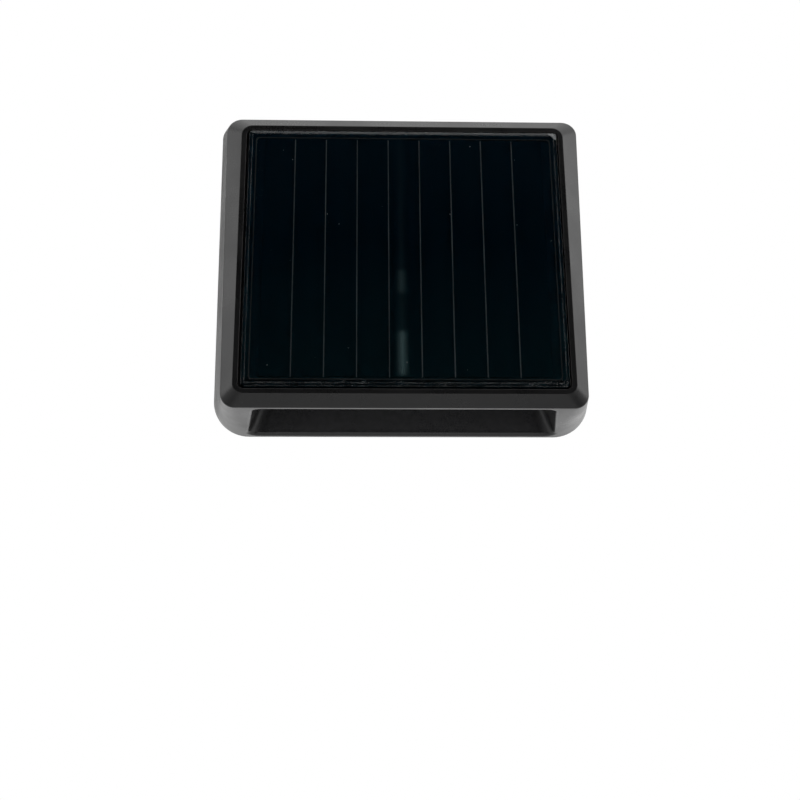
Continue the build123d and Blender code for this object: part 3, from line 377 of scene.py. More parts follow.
@dataclass(frozen=True)
class ClearSheet(Finish):
    """Clear front sheet with faint wipe marks, ground edges lightened as a painted highlight, a painted
    highlight at one corner, and dust, most of it at the ends.
    """

    low: Vector
    high: Vector
    clear: Shades = ((0.93, 0.97, 0.98), (0.97, 0.99, 1.0))
    clear_patch: float = 20.0 * MM
    edge_run: float = 0.9 * MM
    # Ground lines, painted lighter as a highlight, at the outer edge and at the top of the sloped one.
    outer_line: Pair = (0.10 * MM, 0.20 * MM)
    inner_line: Pair = (0.06 * MM, 0.14 * MM)
    line_patch: float = 3.0 * MM
    line_cover: Pair = (0.02, 0.085)
    # Painted highlight at the upper right corner: where it starts, where it is full, and its strength.
    corner_highlight_start: float = 2.6 * MM
    corner_highlight_full: float = 0.9
    corner_highlight_cover: float = 0.3
    # Colour of the dust, also laid on the edge lines and the corner as painted highlights.
    dust: Colour = (0.22, 0.235, 0.24)
    dust_height: float = 2.4 * MM
    dust_full: float = 0.5
    drift: float = 5.0 * MM
    drift_range: Pair = (0.40, 0.58)
    drift_cover: Pair = (0.08, 1.0)
    lean: Pair = (0.45, 1.0)
    gathered: Specks = Specks(0.4 * MM, 0.24, 0.7)
    scattered: Specks = Specks(3.2 * MM, 0.04, 0.5)
    dust_clearness: float = 0.15
    dust_roughness: float = 0.7
    wipe: float = 12.0 * MM
    wipe_range: Pair = (0.35, 0.75)
    wipe_roughness: Pair = (0.01, 0.025)

    def marks(self, sheet: FinishSheet) -> Socket:
        """Ground lines along the outer edge and the top of the sloped one, lightened as a painted highlight,
        and a painted highlight at the upper right corner.

        Args:
            sheet: Sheet to build them in.

        Returns:
            Value socket, above 0 on the marks.
        """
        gaps = []
        for name, low, high in (("X", self.low.x, self.high.x), ("Z", self.low.z, self.high.z)):
            half = (high - low) / 2
            offset = sheet.math("SUBTRACT", sheet.axis(name), (low + high) / 2)
            gaps.append(sheet.span(sheet.math("ABSOLUTE", offset), 0.0, half, half, 0.0))
        inset = sheet.math("MINIMUM", *gaps)
        # Painted highlight: the ground lines are laid lighter.
        outer = sheet.span(inset, *self.outer_line, 1.0, 0.0)
        step = sheet.math("ABSOLUTE", sheet.math("SUBTRACT", inset, self.edge_run))
        inner = sheet.span(step, *self.inner_line, 1.0, 0.0)
        broken = sheet.broken(self.line_patch, self.line_cover)
        lines = sheet.math("MULTIPLY", sheet.math("MAXIMUM", outer, inner), broken)
        # Painted highlight: a lighter patch at the upper right corner.
        reach = sheet.math("ADD", sheet.axis("X"), sheet.axis("Z"))
        corner = self.high.x + self.high.z
        full = corner - self.corner_highlight_full * self.corner_highlight_start
        chip = sheet.span(reach, corner - self.corner_highlight_start, full, 0.0, self.corner_highlight_cover)
        return sheet.math("MAXIMUM", lines, chip)

    def specks(self, sheet: FinishSheet) -> Socket:
        """Specks of dust, gathered in drifts along the lower and upper end and scattered over the rest.

        Args:
            sheet: Sheet to build them in.

        Returns:
            Value socket, above 0 on a speck.
        """
        height = sheet.axis("Z")
        full = self.dust_full * self.dust_height
        low = sheet.span(height, self.low.z + self.dust_height, self.low.z + full)
        high = sheet.span(height, self.high.z - full, self.high.z)
        drift = sheet.span(sheet.noise(self.drift), *self.drift_range, *self.drift_cover)
        lean = sheet.span(sheet.axis("X"), self.low.x, self.high.x, *self.lean)
        ends = sheet.math("MULTIPLY", sheet.math("MAXIMUM", low, high), sheet.math("MULTIPLY", drift, lean))
        gathered = sheet.math("MULTIPLY", sheet.specks(self.gathered), ends)
        return sheet.math("MAXIMUM", gathered, sheet.specks(self.scattered))

    def paint(self, sheet: FinishSheet) -> None:
        """Add the clear sheet, its dull marks and painted highlights, and its wiped gloss.

        Args:
            sheet: Sheet to paint.
        """
        # The dust colour goes on the specks, and as painted highlights on the edge lines and the corner.
        dust = sheet.math("MAXIMUM", self.specks(sheet), self.marks(sheet))
        clear = sheet.mottle(sheet.noise(self.clear_patch), *self.clear)
        wipe = sheet.noise(self.wipe, spread=Spread.ALONG_X)
        wiped = sheet.span(wipe, *self.wipe_range, *self.wipe_roughness)
        dusty = sheet.span(dust, 0.0, 1.0, 0.0, self.dust_roughness)
        sheet.shade(
            IOR=CLEAR_PLASTIC_IOR,
            Base_Color=sheet.overlay(dust, clear, self.dust),
            Transmission_Weight=sheet.span(dust, 0.0, 1.0, 1.0, self.dust_clearness),
            Roughness=sheet.math("MAXIMUM", wiped, dusty),
        )


@dataclass(frozen=True)
class LaminatedLayer(Finish):
    """Dark layer sealed under the clear sheet, without gloss: faint upright streaks, more teal below."""

    lower_edge: float
    upper_edge: float
    gain: float = 1.0
    teal: Colour = (0.0026, 0.0128, 0.0170)
    navy: Colour = (0.0001, 0.0060, 0.0120)
    pale_navy: Colour = (0.0020, 0.0097, 0.0165)
    colour_places: Triple = (0.05, 0.55, 0.95)
    streak: Pair = (-0.06, 0.06)
    streak_width: float = 14.0 * MM
    foot: float = 0.0
    foot_full: float = 0.9
    foot_colour: Colour = (0.0010, 0.0060, 0.0095)
    patch: float = 3.0 * MM
    roughness: Pair = (0.45, 0.6)

    def paint(self, sheet: FinishSheet) -> None:
        """Add the streaked colour and the dark foot, if there is one.

        Args:
            sheet: Sheet to paint.
        """
        height = sheet.axis("Z")
        rise = sheet.span(height, self.lower_edge, self.upper_edge)
        streaks = sheet.vary(sheet.noise(self.streak_width, spread=Spread.UPRIGHT), self.streak)
        colours = [scaled(colour, self.gain) for colour in (self.teal, self.navy, self.pale_navy)]
        field = sheet.tint(sheet.math("ADD", rise, streaks), list(zip(self.colour_places, colours)))
        if self.foot > 0.0:
            full = self.lower_edge + self.foot_full * self.foot
            foot = sheet.span(height, self.lower_edge + self.foot, full)
            field = sheet.overlay(foot, field, self.foot_colour)
        roughness = sheet.gloss(self.patch, self.roughness)
        sheet.shade(Base_Color=field, Roughness=roughness, Specular_IOR_Level=0.0)


@dataclass(frozen=True)
class BusRibbon:
    """Duller ribbon that runs around a field of ribbons."""

    low: Vector
    high: Vector
    colour: Colour = (0.045, 0.052, 0.055)
    width: float = 0.5 * MM
    side_fade: float = 2.0
    end_fade: float = 1.2

    def mask(self, sheet: FinishSheet) -> Socket:
        """Mask of the ribbon along the sides and the ends of the field.

        Args:
            sheet: Sheet to build it in.

        Returns:
            Value socket, 1 on the ribbon.
        """
        runs = []
        for name, low, high, fade in (("X", self.low.x, self.high.x, self.side_fade),
                                      ("Z", self.low.z, self.high.z, self.end_fade)):
            place = sheet.axis(name)
            reach = fade * self.width
            first = sheet.span(place, low + self.width, low + reach, 1.0, 0.0)
            last = sheet.span(place, high - self.width, high - reach, 1.0, 0.0)
            runs.append(sheet.math("MAXIMUM", first, last))
        return sheet.math("MAXIMUM", *runs)


@dataclass(frozen=True)
class BrushedMetal(Finish):
    """Metal with short brush marks and patches of dulling."""

    colour: Colour
    dull: Colour
    roughness: Pair = (0.28, 0.48)
    mark: float = 0.25 * MM
    mark_relief: Pair = (0.01 * MM, 0.4)
    mark_spread: Spread = Spread.ALONG_X
    patch: float = 3.0 * MM
    patch_places: Pair = (0.35, 0.7)
    patch_spread: Spread = Spread.EVEN
    bus: BusRibbon | None = None

    def paint(self, sheet: FinishSheet) -> None:
        """Add the patches, the bus ribbon, if there is one, and the brush marks.

        Args:
            sheet: Sheet to paint.
        """
        patches = sheet.noise(self.patch, 4.0, self.patch_spread)
        coat = sheet.mottle(patches, self.colour, self.dull, self.patch_places)
        if self.bus is not None:
            coat = sheet.overlay(self.bus.mask(sheet), coat, self.bus.colour)
        marks = sheet.noise(self.mark, spread=self.mark_spread)
        bump = sheet.relief(marks, *self.mark_relief)
        sheet.shade(Metallic=1.0, Base_Color=coat, Roughness=sheet.vary(marks, self.roughness), Normal=bump)


@dataclass(frozen=True)
class SolderMask(Finish):
    """Board with a lacquer film and raised traces under it."""

    lacquer: Colour
    trace: Colour
    shade: float = 0.8
    patch: float = 6.0 * MM
    pitch: float = 2.2 * MM
    trace_edge: Pair = (0.32 * MM, 0.28 * MM)
    trace_patch: float = 5.0 * MM
    trace_range: Pair = (0.5, 0.52)
    trace_relief: Pair = (0.03 * MM, 0.6)
    grain: float = 0.5 * MM
    roughness: Pair = (0.3, 0.42)

    def paint(self, sheet: FinishSheet) -> None:
        """Add the lacquer and the traces.

        Args:
            sheet: Sheet to paint.
        """
        shaded = scaled(self.lacquer, self.shade)
        base = sheet.mottle(sheet.noise(self.patch, detail=3.0), shaded, self.lacquer)
        lane = sheet.math("PINGPONG", sheet.axis("X"), self.pitch / 2)
        runs = sheet.span(sheet.noise(self.trace_patch, 1.0, Spread.UPRIGHT), *self.trace_range)
        trace = sheet.math("MULTIPLY", sheet.span(lane, *self.trace_edge), runs)
        sheet.shade(
            Base_Color=sheet.overlay(trace, base, self.trace),
            Roughness=sheet.gloss(self.grain, self.roughness),
            Normal=sheet.relief(trace, *self.trace_relief),
        )


@dataclass(frozen=True)
class SoftRubber(Finish):
    """Matt seal, tape or lead insulation with a dusty bloom."""

    colour: Colour
    bloom: Colour
    bloom_patch: float = 4.0 * MM
    bloom_places: Pair = (0.35, 0.75)
    roughness: Pair = (0.6, 0.8)
    pore: float = 0.35 * MM
    pore_relief: Pair = (0.02 * MM, 0.6)

    def paint(self, sheet: FinishSheet) -> None:
        """Add the bloom and the pores.

        Args:
            sheet: Sheet to paint.
        """
        patches = sheet.noise(self.bloom_patch, detail=4.0)
        bloom = sheet.mottle(patches, self.colour, self.bloom, self.bloom_places)
        pores = sheet.noise(self.pore)
        bump = sheet.relief(pores, *self.pore_relief)
        sheet.shade(Base_Color=bloom, Roughness=sheet.vary(pores, self.roughness), Normal=bump)


@dataclass(frozen=True)
class FrostedLens(Finish):
    """Lightly frosted clear window with fine ribs that spread the light."""

    colour: Colour = (0.90, 0.92, 0.90)
    shade: float = 0.94
    patch: float = 5.0 * MM
    clearness: float = 0.85
    frost: float = 1.5 * MM
    roughness: Pair = (0.05, 0.11)
    rib_pitch: float = 1.2 * MM
    rib_relief: Pair = (0.12 * MM, 0.35)

    def paint(self, sheet: FinishSheet) -> None:
        """Add the frosted window and its ribs.

        Args:
            sheet: Sheet to paint.
        """
        milky = scaled(self.colour, self.shade)
        half = self.rib_pitch / 2
        rib = sheet.span(sheet.math("PINGPONG", sheet.axis("X"), half), 0.0, half)
        sheet.shade(
            IOR=CLEAR_PLASTIC_IOR,
            Transmission_Weight=self.clearness,
            Base_Color=sheet.mottle(sheet.noise(self.patch, detail=3.0), milky, self.colour),
            Roughness=sheet.gloss(self.frost, self.roughness),
            Normal=sheet.relief(rib, *self.rib_relief),
        )


@dataclass(frozen=True)
class Phosphor(Finish):
    """Powdery light source, unlit."""

    colour: Colour
    rim: Colour
    powder: float = 0.3 * MM
    powder_places: Pair = (0.25, 0.6)
    grain: float = 0.15 * MM
    roughness: Pair = (0.4, 0.6)

    def paint(self, sheet: FinishSheet) -> None:
        """Add the powder."""
        coat = sheet.mottle(sheet.noise(self.powder, detail=3.0), self.rim, self.colour, self.powder_places)
        sheet.shade(Base_Color=coat, Roughness=sheet.gloss(self.grain, self.roughness))


@dataclass(frozen=True)
class ShrinkSleeve(Finish):
    """Glossy shrink film over a cell, with bare metal at both ends."""

    film: Colour
    metal: Colour
    half_length: float
    bare_edge: Pair = (1.3 * MM, 1.2 * MM)
    shade: float = 0.75
    patch: float = 12.0 * MM
    wrinkle: float = 2.5 * MM
    roughness: Pair = (0.22, 0.36)

    def paint(self, sheet: FinishSheet) -> None:
        """Add the film and the bare ends.

        Args:
            sheet: Sheet to paint.
        """
        reach = sheet.math("ABSOLUTE", sheet.axis("X"))
        bare = sheet.span(reach, *(self.half_length - edge for edge in self.bare_edge))
        patches = sheet.noise(self.patch, 3.0, Spread.ALONG_X)
        film = sheet.mottle(patches, scaled(self.film, self.shade), self.film)
        coat = sheet.overlay(bare, film, self.metal)
        sheet.shade(Base_Color=coat, Metallic=bare, Roughness=sheet.gloss(self.wrinkle, self.roughness))


def dress(finish: Finish, *nodes: str) -> None:
    """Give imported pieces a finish.

    Args:
        finish: Finish to build.
        *nodes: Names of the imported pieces.
    """
    material = finish.make()
    for node in nodes:
        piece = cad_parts[node]
        piece.data.materials.clear()
        piece.data.materials.append(material)
        LOG.info("dressed %s in %s", node, finish.name)


def add_piece(name: str, mesh: Mesh, finish: Finish) -> None:
    """Turn a mesh in the row frame into a piece that rides on its body.

    Args:
        name: Name of the piece.
        mesh: Its mesh, which is freed.
        finish: Its finish.
    """
    data = bpy.data.meshes.new(name)
    mesh.to_mesh(data)
    mesh.free()
    data.materials.append(finish.make())
    data.shade_smooth()
    piece = bpy.data.objects.new(name, data)
    bpy.context.scene.collection.objects.link(piece)
    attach(piece, CARRIER)
    LOG.info("built %s on %s", name, CARRIER)


def around(sides: int) -> list[float]:
    """Angles of equal steps around a circle."""
    return [2 * math.pi * side / sides for side in range(sides)]


def skin(mesh: Mesh, rings: list[Ring]) -> None:
    """Join neighbouring rings of corners with faces.

    Args:
        mesh: Mesh that holds the rings.
        rings: Rings with equal numbers of corners, in order.
    """
    for one, two in zip(rings, rings[1:]):
        for corner in range(len(one)):
            after = (corner + 1) % len(one)
            mesh.faces.new((one[corner], one[after], two[after], two[corner]))


@dataclass
class Housing:
    """Front moulding, rear cover, its seal and all screws."""

    colour: Colour = (0.0068, 0.0068, 0.0071)
    lint: Specks = Specks(4.0 * MM, 0.04, 0.08)
    scoop_half: float = 44.0 * MM
    scoop_height: float = 17.0 * MM
    scoop_front: float = 4.0 * MM
    scoop_back: float = 1.0 * MM
    cover: MouldedPlastic = MouldedPlastic(
        "black_cover_plastic", (0.012, 0.012, 0.0125),
        roughness=(0.45, 0.58), grain=0.4 * MM, grain_relief=(0.03 * MM, 0.5))
    seal: SoftRubber = SoftRubber("cover_seal_rubber", (0.02, 0.02, 0.021), (0.05, 0.05, 0.052))
    steel: BrushedMetal = BrushedMetal("screw_zinc", (0.52, 0.53, 0.55), (0.33, 0.33, 0.34), mark=0.12 * MM)

    def dress(self) -> None:
        """Give the moulding, the cover and the fasteners their finishes."""
        low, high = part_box("front_housing")
        start = (-self.scoop_half, low.y + self.scoop_front, low.z)
        end = (self.scoop_half, high.y - self.scoop_back, low.z + self.scoop_height)
        # Painted light: the scoop's inside is laid a lighter grey, standing in for light that reaches it from
        # below.
        dust = PaintedRecessLight(start, end)
        plastic = MouldedPlastic("black_housing_plastic", self.colour, lint=self.lint, film=dust)
        dress(plastic, "front_housing")
        dress(self.cover, "rear_cover")
        dress(self.seal, "cover_seal")
        dress(self.steel, "cover_screws", "lamp_screws", "control_screws", "cradle_screws")


@dataclass
class SolarPanel:
    """Clear sheet, cells, ribbons, backing and tape."""

    backing_gain: float = 1.5
    dark_foot: float = 2.1 * MM
    bond_depth: float = 0.01 * MM
    ribbon_bright: Colour = (0.120, 0.138, 0.146)
    ribbon_dull: Colour = (0.088, 0.100, 0.106)
    ribbon_roughness: Pair = (0.5, 0.65)
    tape: SoftRubber = SoftRubber(
        "panel_foam_tape", (0.03, 0.03, 0.032), (0.06, 0.06, 0.062),
        pore=0.5 * MM, pore_relief=(0.06 * MM, 0.6))

    def dress(self) -> None:
        """Give the layers of the panel their finishes."""
        low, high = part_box("panel_glass")
        backing = LaminatedLayer("panel_backing", low.z, high.z, self.backing_gain, foot=self.dark_foot)
        ribbon = BrushedMetal(
            "cell_ribbon_tin", self.ribbon_bright, self.ribbon_dull, self.ribbon_roughness,
            mark_spread=Spread.UPRIGHT, patch_spread=Spread.UPRIGHT, bus=BusRibbon(*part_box("cell_ribbons")))
        dress(ClearSheet("panel_clear_sheet", low, high), "panel_glass")
        dress(LaminatedLayer("cell_strips", low.z, high.z), "solar_cells")
        dress(backing, "panel_board")
        dress(ribbon, "cell_ribbons")
        dress(self.tape, "panel_tape")
        self.bond()

    def bond(self) -> None:
        """Grow the cells and the ribbons by a hair into the clear sheet, so that no two faces coincide."""
        for node in ("solar_cells", "cell_ribbons"):
            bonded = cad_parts[node].modifiers.new("bonded_to_sheet", "DISPLACE")
            bonded.strength = self.bond_depth
            bonded.mid_level = 0.0


class LightSource(NamedTuple):
    """Packed light source, the record's slot for its phosphor and the phosphor's colour."""

    node: str
    slot: str
    colour: Colour


@dataclass
class LampWindow:
    """Window in the scoop, its seal, the lamp board and the three light sources."""

    dome_share: float = 0.36
    dome_height: float = 0.22 * MM
    dome_sides: int = 24
    dome_rings: int = 4
    rim_shade: float = 0.8
    sources: tuple[LightSource, ...] = (
        LightSource("warm_led", "led_warm", (0.80, 0.50, 0.10)),
        LightSource("neutral_led", "led_neutral", (0.82, 0.66, 0.22)),
        LightSource("cool_led", "led_cool", (0.80, 0.76, 0.36)),
    )
    lens: FrostedLens = FrostedLens("lamp_window_clear")
    seal: SoftRubber = SoftRubber("window_seal_silicone", (0.35, 0.35, 0.34), (0.5, 0.5, 0.48))
    board: SolderMask = SolderMask("white_lamp_board", (0.70, 0.70, 0.67), (0.58, 0.58, 0.55))
    package: MouldedPlastic = MouldedPlastic(
        "light_source_package", (0.62, 0.61, 0.56), clouding=0.05, roughness=(0.3, 0.4),
        grain=0.2 * MM, grain_relief=(0.005 * MM, 0.5), edge=0.1 * MM, edge_lift=1.1)

    def dress(self) -> None:
        """Give the window, the board and the packages of the light sources their finishes."""
        dress(self.lens, "light_lens")
        dress(self.seal, "lens_seal")
        dress(self.board, "lamp_board")
        dress(self.package, *(source.node for source in self.sources))

    def build(self) -> None:
        """Lay a crowned drop of phosphor into each light source."""
        for node, slot, colour in self.sources:
            name = f"{node}_phosphor"
            phosphor = Phosphor(name, colour, scaled(colour, self.rim_shade))
            add_piece(name, self.drop(node), phosphor)

    def drop(self, node: str) -> Mesh:
        """Crowned disc below the middle of a light source.

        Args:
            node: Packed light source that carries it.

        Returns:
            The mesh.
        """
        low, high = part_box(node)
        middle = (low + high) / 2
        radius = self.dome_share * min(high.x - low.x, high.y - low.y)
        mesh = bmesh.new()
        rings = []
        for ring in range(self.dome_rings):
            turn = ring / self.dome_rings * math.pi / 2
            reach = radius * math.cos(turn)
            z = low.z - self.dome_height * math.sin(turn)
            rings.append([
                mesh.verts.new((middle.x + reach * math.cos(angle), middle.y + reach * math.sin(angle), z))
                for angle in around(self.dome_sides)])
        tip = mesh.verts.new((middle.x, middle.y, low.z - self.dome_height))
        mesh.faces.new(rings[0])
        skin(mesh, rings)
        crown = rings[-1]
        for corner, after in zip(crown, crown[1:] + crown[:1]):
            mesh.faces.new((corner, tip, after))
        bmesh.ops.recalc_face_normals(mesh, faces=mesh.faces)
        return mesh


@dataclass
class ControlBoard:
    """Board with its chip, coil, capacitor and sockets."""

    leg_count: int = 4
    leg_width: float = 0.4 * MM
    leg_reach: float = 0.9 * MM
    leg_shoulder: float = 0.4
    leg_knee: float = 0.55
    leg_thickness: float = 0.18 * MM
    coil_rim: float = 0.9 * MM
    coil_core: float = 2.2 * MM
    wire_radius: float = 0.17 * MM
    wire_lift: float = 1.05
    wire_sides: int = 8
    turn_sides: int = 40
    board: SolderMask = SolderMask("green_control_board", (0.012, 0.085, 0.030), (0.020, 0.130, 0.045))
    chip: MouldedPlastic = MouldedPlastic("chip_black", (0.012, 0.012, 0.013), edge_lift=1.3)
    ferrite: SoftRubber = SoftRubber("coil_ferrite", (0.035, 0.033, 0.032), (0.06, 0.057, 0.055))
    can: BrushedMetal = BrushedMetal("capacitor_can", (0.60, 0.61, 0.62), (0.45, 0.46, 0.47))
    socket: MouldedPlastic = MouldedPlastic(
        "socket_white", (0.66, 0.64, 0.58), clouding=0.08, roughness=(0.35, 0.45), edge_lift=1.1)
    tin: BrushedMetal = BrushedMetal("chip_leg_tin", (0.62, 0.62, 0.60), (0.45, 0.45, 0.44))
    copper: BrushedMetal = BrushedMetal("coil_copper", (0.70, 0.30, 0.14), (0.50, 0.20, 0.09), (0.25, 0.4))

    def dress(self) -> None:
        """Give the board and its components their finishes."""
        dress(self.board, "control_board")
        dress(self.chip, "control_chip")
        dress(self.ferrite, "drive_coil")
        dress(self.can, "capacitor")
        dress(self.socket, "lead_sockets")

    def build(self) -> None:
        """Add the chip's legs and the coil's winding."""
        add_piece("chip_legs", self.chip_legs(), self.tin)
        add_piece("coil_winding", self.winding(), self.copper)

    def chip_legs(self) -> Mesh:
        """Bent legs along both sides of the chip, down to the board.

        Returns:
            The mesh.
        """
        low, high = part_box("control_chip")
        shoulder = (low.y + high.y) / 2
        thick = self.leg_thickness
        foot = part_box("control_board")[0].y - thick
        pitch = (high.z - low.z) / self.leg_count
        half = self.leg_width / 2
        section = ((0.0, -half), (0.0, half), (thick, half), (thick, -half))
        mesh = bmesh.new()
        parts = (self.leg_shoulder, self.leg_knee, 1.0)
        for side, edge in ((Side.LEFT, low.x), (Side.RIGHT, high.x)):
            bend, knee, toe = (edge + side.value * part * self.leg_reach for part in parts)
            line = ((edge, shoulder), (bend, shoulder), (knee, foot), (toe, foot))
            for index in range(self.leg_count):
                z = low.z + (index + 0.5) * pitch
                rows = [[mesh.verts.new((x, y + dy, z + dz)) for dy, dz in section] for x, y in line]
                skin(mesh, rows)
                mesh.faces.new(rows[0][::-1])
                mesh.faces.new(rows[-1])
        bmesh.ops.recalc_face_normals(mesh, faces=mesh.faces)
        return mesh

    def winding(self) -> Mesh:
        """Turns of enamelled wire between the rims of the coil.

        Returns:
            The mesh.
        """
        low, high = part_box("drive_coil")
        middle = (low + high) / 2
        start = low.y + self.coil_rim + self.wire_radius
        end = high.y - self.coil_rim - self.wire_radius
        turns = int((end - start) / (2 * self.wire_radius)) + 1
        mesh = bmesh.new()
        for turn in range(turns):
            y = start + (end - start) * turn / max(turns - 1, 1)
            rings = [self.wire_ring(mesh, middle, y, angle) for angle in around(self.turn_sides)]
            skin(mesh, rings + rings[:1])
        bmesh.ops.recalc_face_normals(mesh, faces=mesh.faces)
        return mesh

    def wire_ring(self, mesh: Mesh, middle: Vector, y: float, angle: float) -> Ring:
        """Section through one turn of the wire.

        Args:
            mesh: Mesh that it is added to.
            middle: Middle of the coil.
            y: Place of the turn along the coil.
            angle: Place of the section around the coil.

        Returns:
            Its corners in order.
        """
        ring = []
        for roll in around(self.wire_sides):
            reach = self.coil_core + self.wire_radius * (self.wire_lift + math.cos(roll))
            x = middle.x + reach * math.cos(angle)
            z = middle.z + reach * math.sin(angle)
            ring.append(mesh.verts.new((x, y + self.wire_radius * math.sin(roll), z)))
        return ring


@dataclass
class ModeSwitch:
    """Mode button, its ring and the switch behind it."""

    button: MouldedPlastic = MouldedPlastic(
        "mode_button_plastic", (0.030, 0.030, 0.031), clouding=0.15, roughness=(0.5, 0.62),
        grain=0.3 * MM, grain_relief=(0.03 * MM, 0.5))
    ring: SoftRubber = SoftRubber("button_seal_silicone", (0.30, 0.06, 0.04), (0.38, 0.10, 0.07))
    body: MouldedPlastic = MouldedPlastic("switch_body_plastic", (0.014, 0.014, 0.015))
    stem: MouldedPlastic = MouldedPlastic("switch_stem_plastic", (0.020, 0.020, 0.021))

    def dress(self) -> None:
        """Give the button and the switch their finishes."""
        dress(self.button, "mode_button")
        dress(self.ring, "button_seal")
        dress(self.body, "switch_body")
        dress(self.stem, "switch_stem")


@dataclass
class BatteryPack:
    """Cell, cradle and contacts."""

    film: Colour = (0.020, 0.095, 0.26)
    metal: Colour = (0.58, 0.58, 0.57)
    cradle: MouldedPlastic = MouldedPlastic("cradle_plastic", (0.020, 0.020, 0.021))
    spring: BrushedMetal = BrushedMetal("contact_spring_metal", (0.60, 0.58, 0.53), (0.46, 0.44, 0.40))

    def dress(self) -> None:
        """Give the cell, the cradle and the contacts their finishes."""
        low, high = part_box("battery_cell")
        dress(ShrinkSleeve("cell_sleeve", self.film, self.metal, (high.x - low.x) / 2), "battery_cell")
        dress(self.cradle, "battery_cradle")
        dress(self.spring, "positive_contact", "negative_contact")


@dataclass
class Wiring:
    """Leads between the panel, the battery, the lamp board and the control board."""

    battery: SoftRubber = SoftRubber(
        "battery_lead_red", (0.30, 0.018, 0.014), (0.36, 0.03, 0.025), roughness=(0.4, 0.5))
    lamp: SoftRubber = SoftRubber("lamp_lead_grey", grey(0.22), grey(0.28), roughness=(0.4, 0.5))
    panel: SoftRubber = SoftRubber(
        "panel_lead_black", (0.014, 0.014, 0.015), (0.03, 0.03, 0.031), roughness=(0.4, 0.5))

    def dress(self) -> None:
        """Give the leads their insulation."""
        dress(self.battery, "battery_leads")
        dress(self.lamp, "lamp_leads")
        dress(self.panel, "panel_leads")


@dataclass(frozen=True)
class SoftBox:
    """Broad lamp that faces the light."""

    name: str
    place: Triple
    size: Pair
    watts: float

    def build(self) -> None:
        """Add the lamp to the scene."""
        data = bpy.data.lights.new(self.name, "AREA")
        data.shape = "RECTANGLE"
        data.size, data.size_y = self.size
        data.energy = self.watts
        lamp = bpy.data.objects.new(self.name, data)
        lamp.location = self.place
        lamp.rotation_mode = "QUATERNION"
        lamp.rotation_quaternion = (-Vector(self.place)).to_track_quat("-Z", "Y")
        lamp.visible_camera = False
        bpy.context.scene.collection.objects.link(lamp)


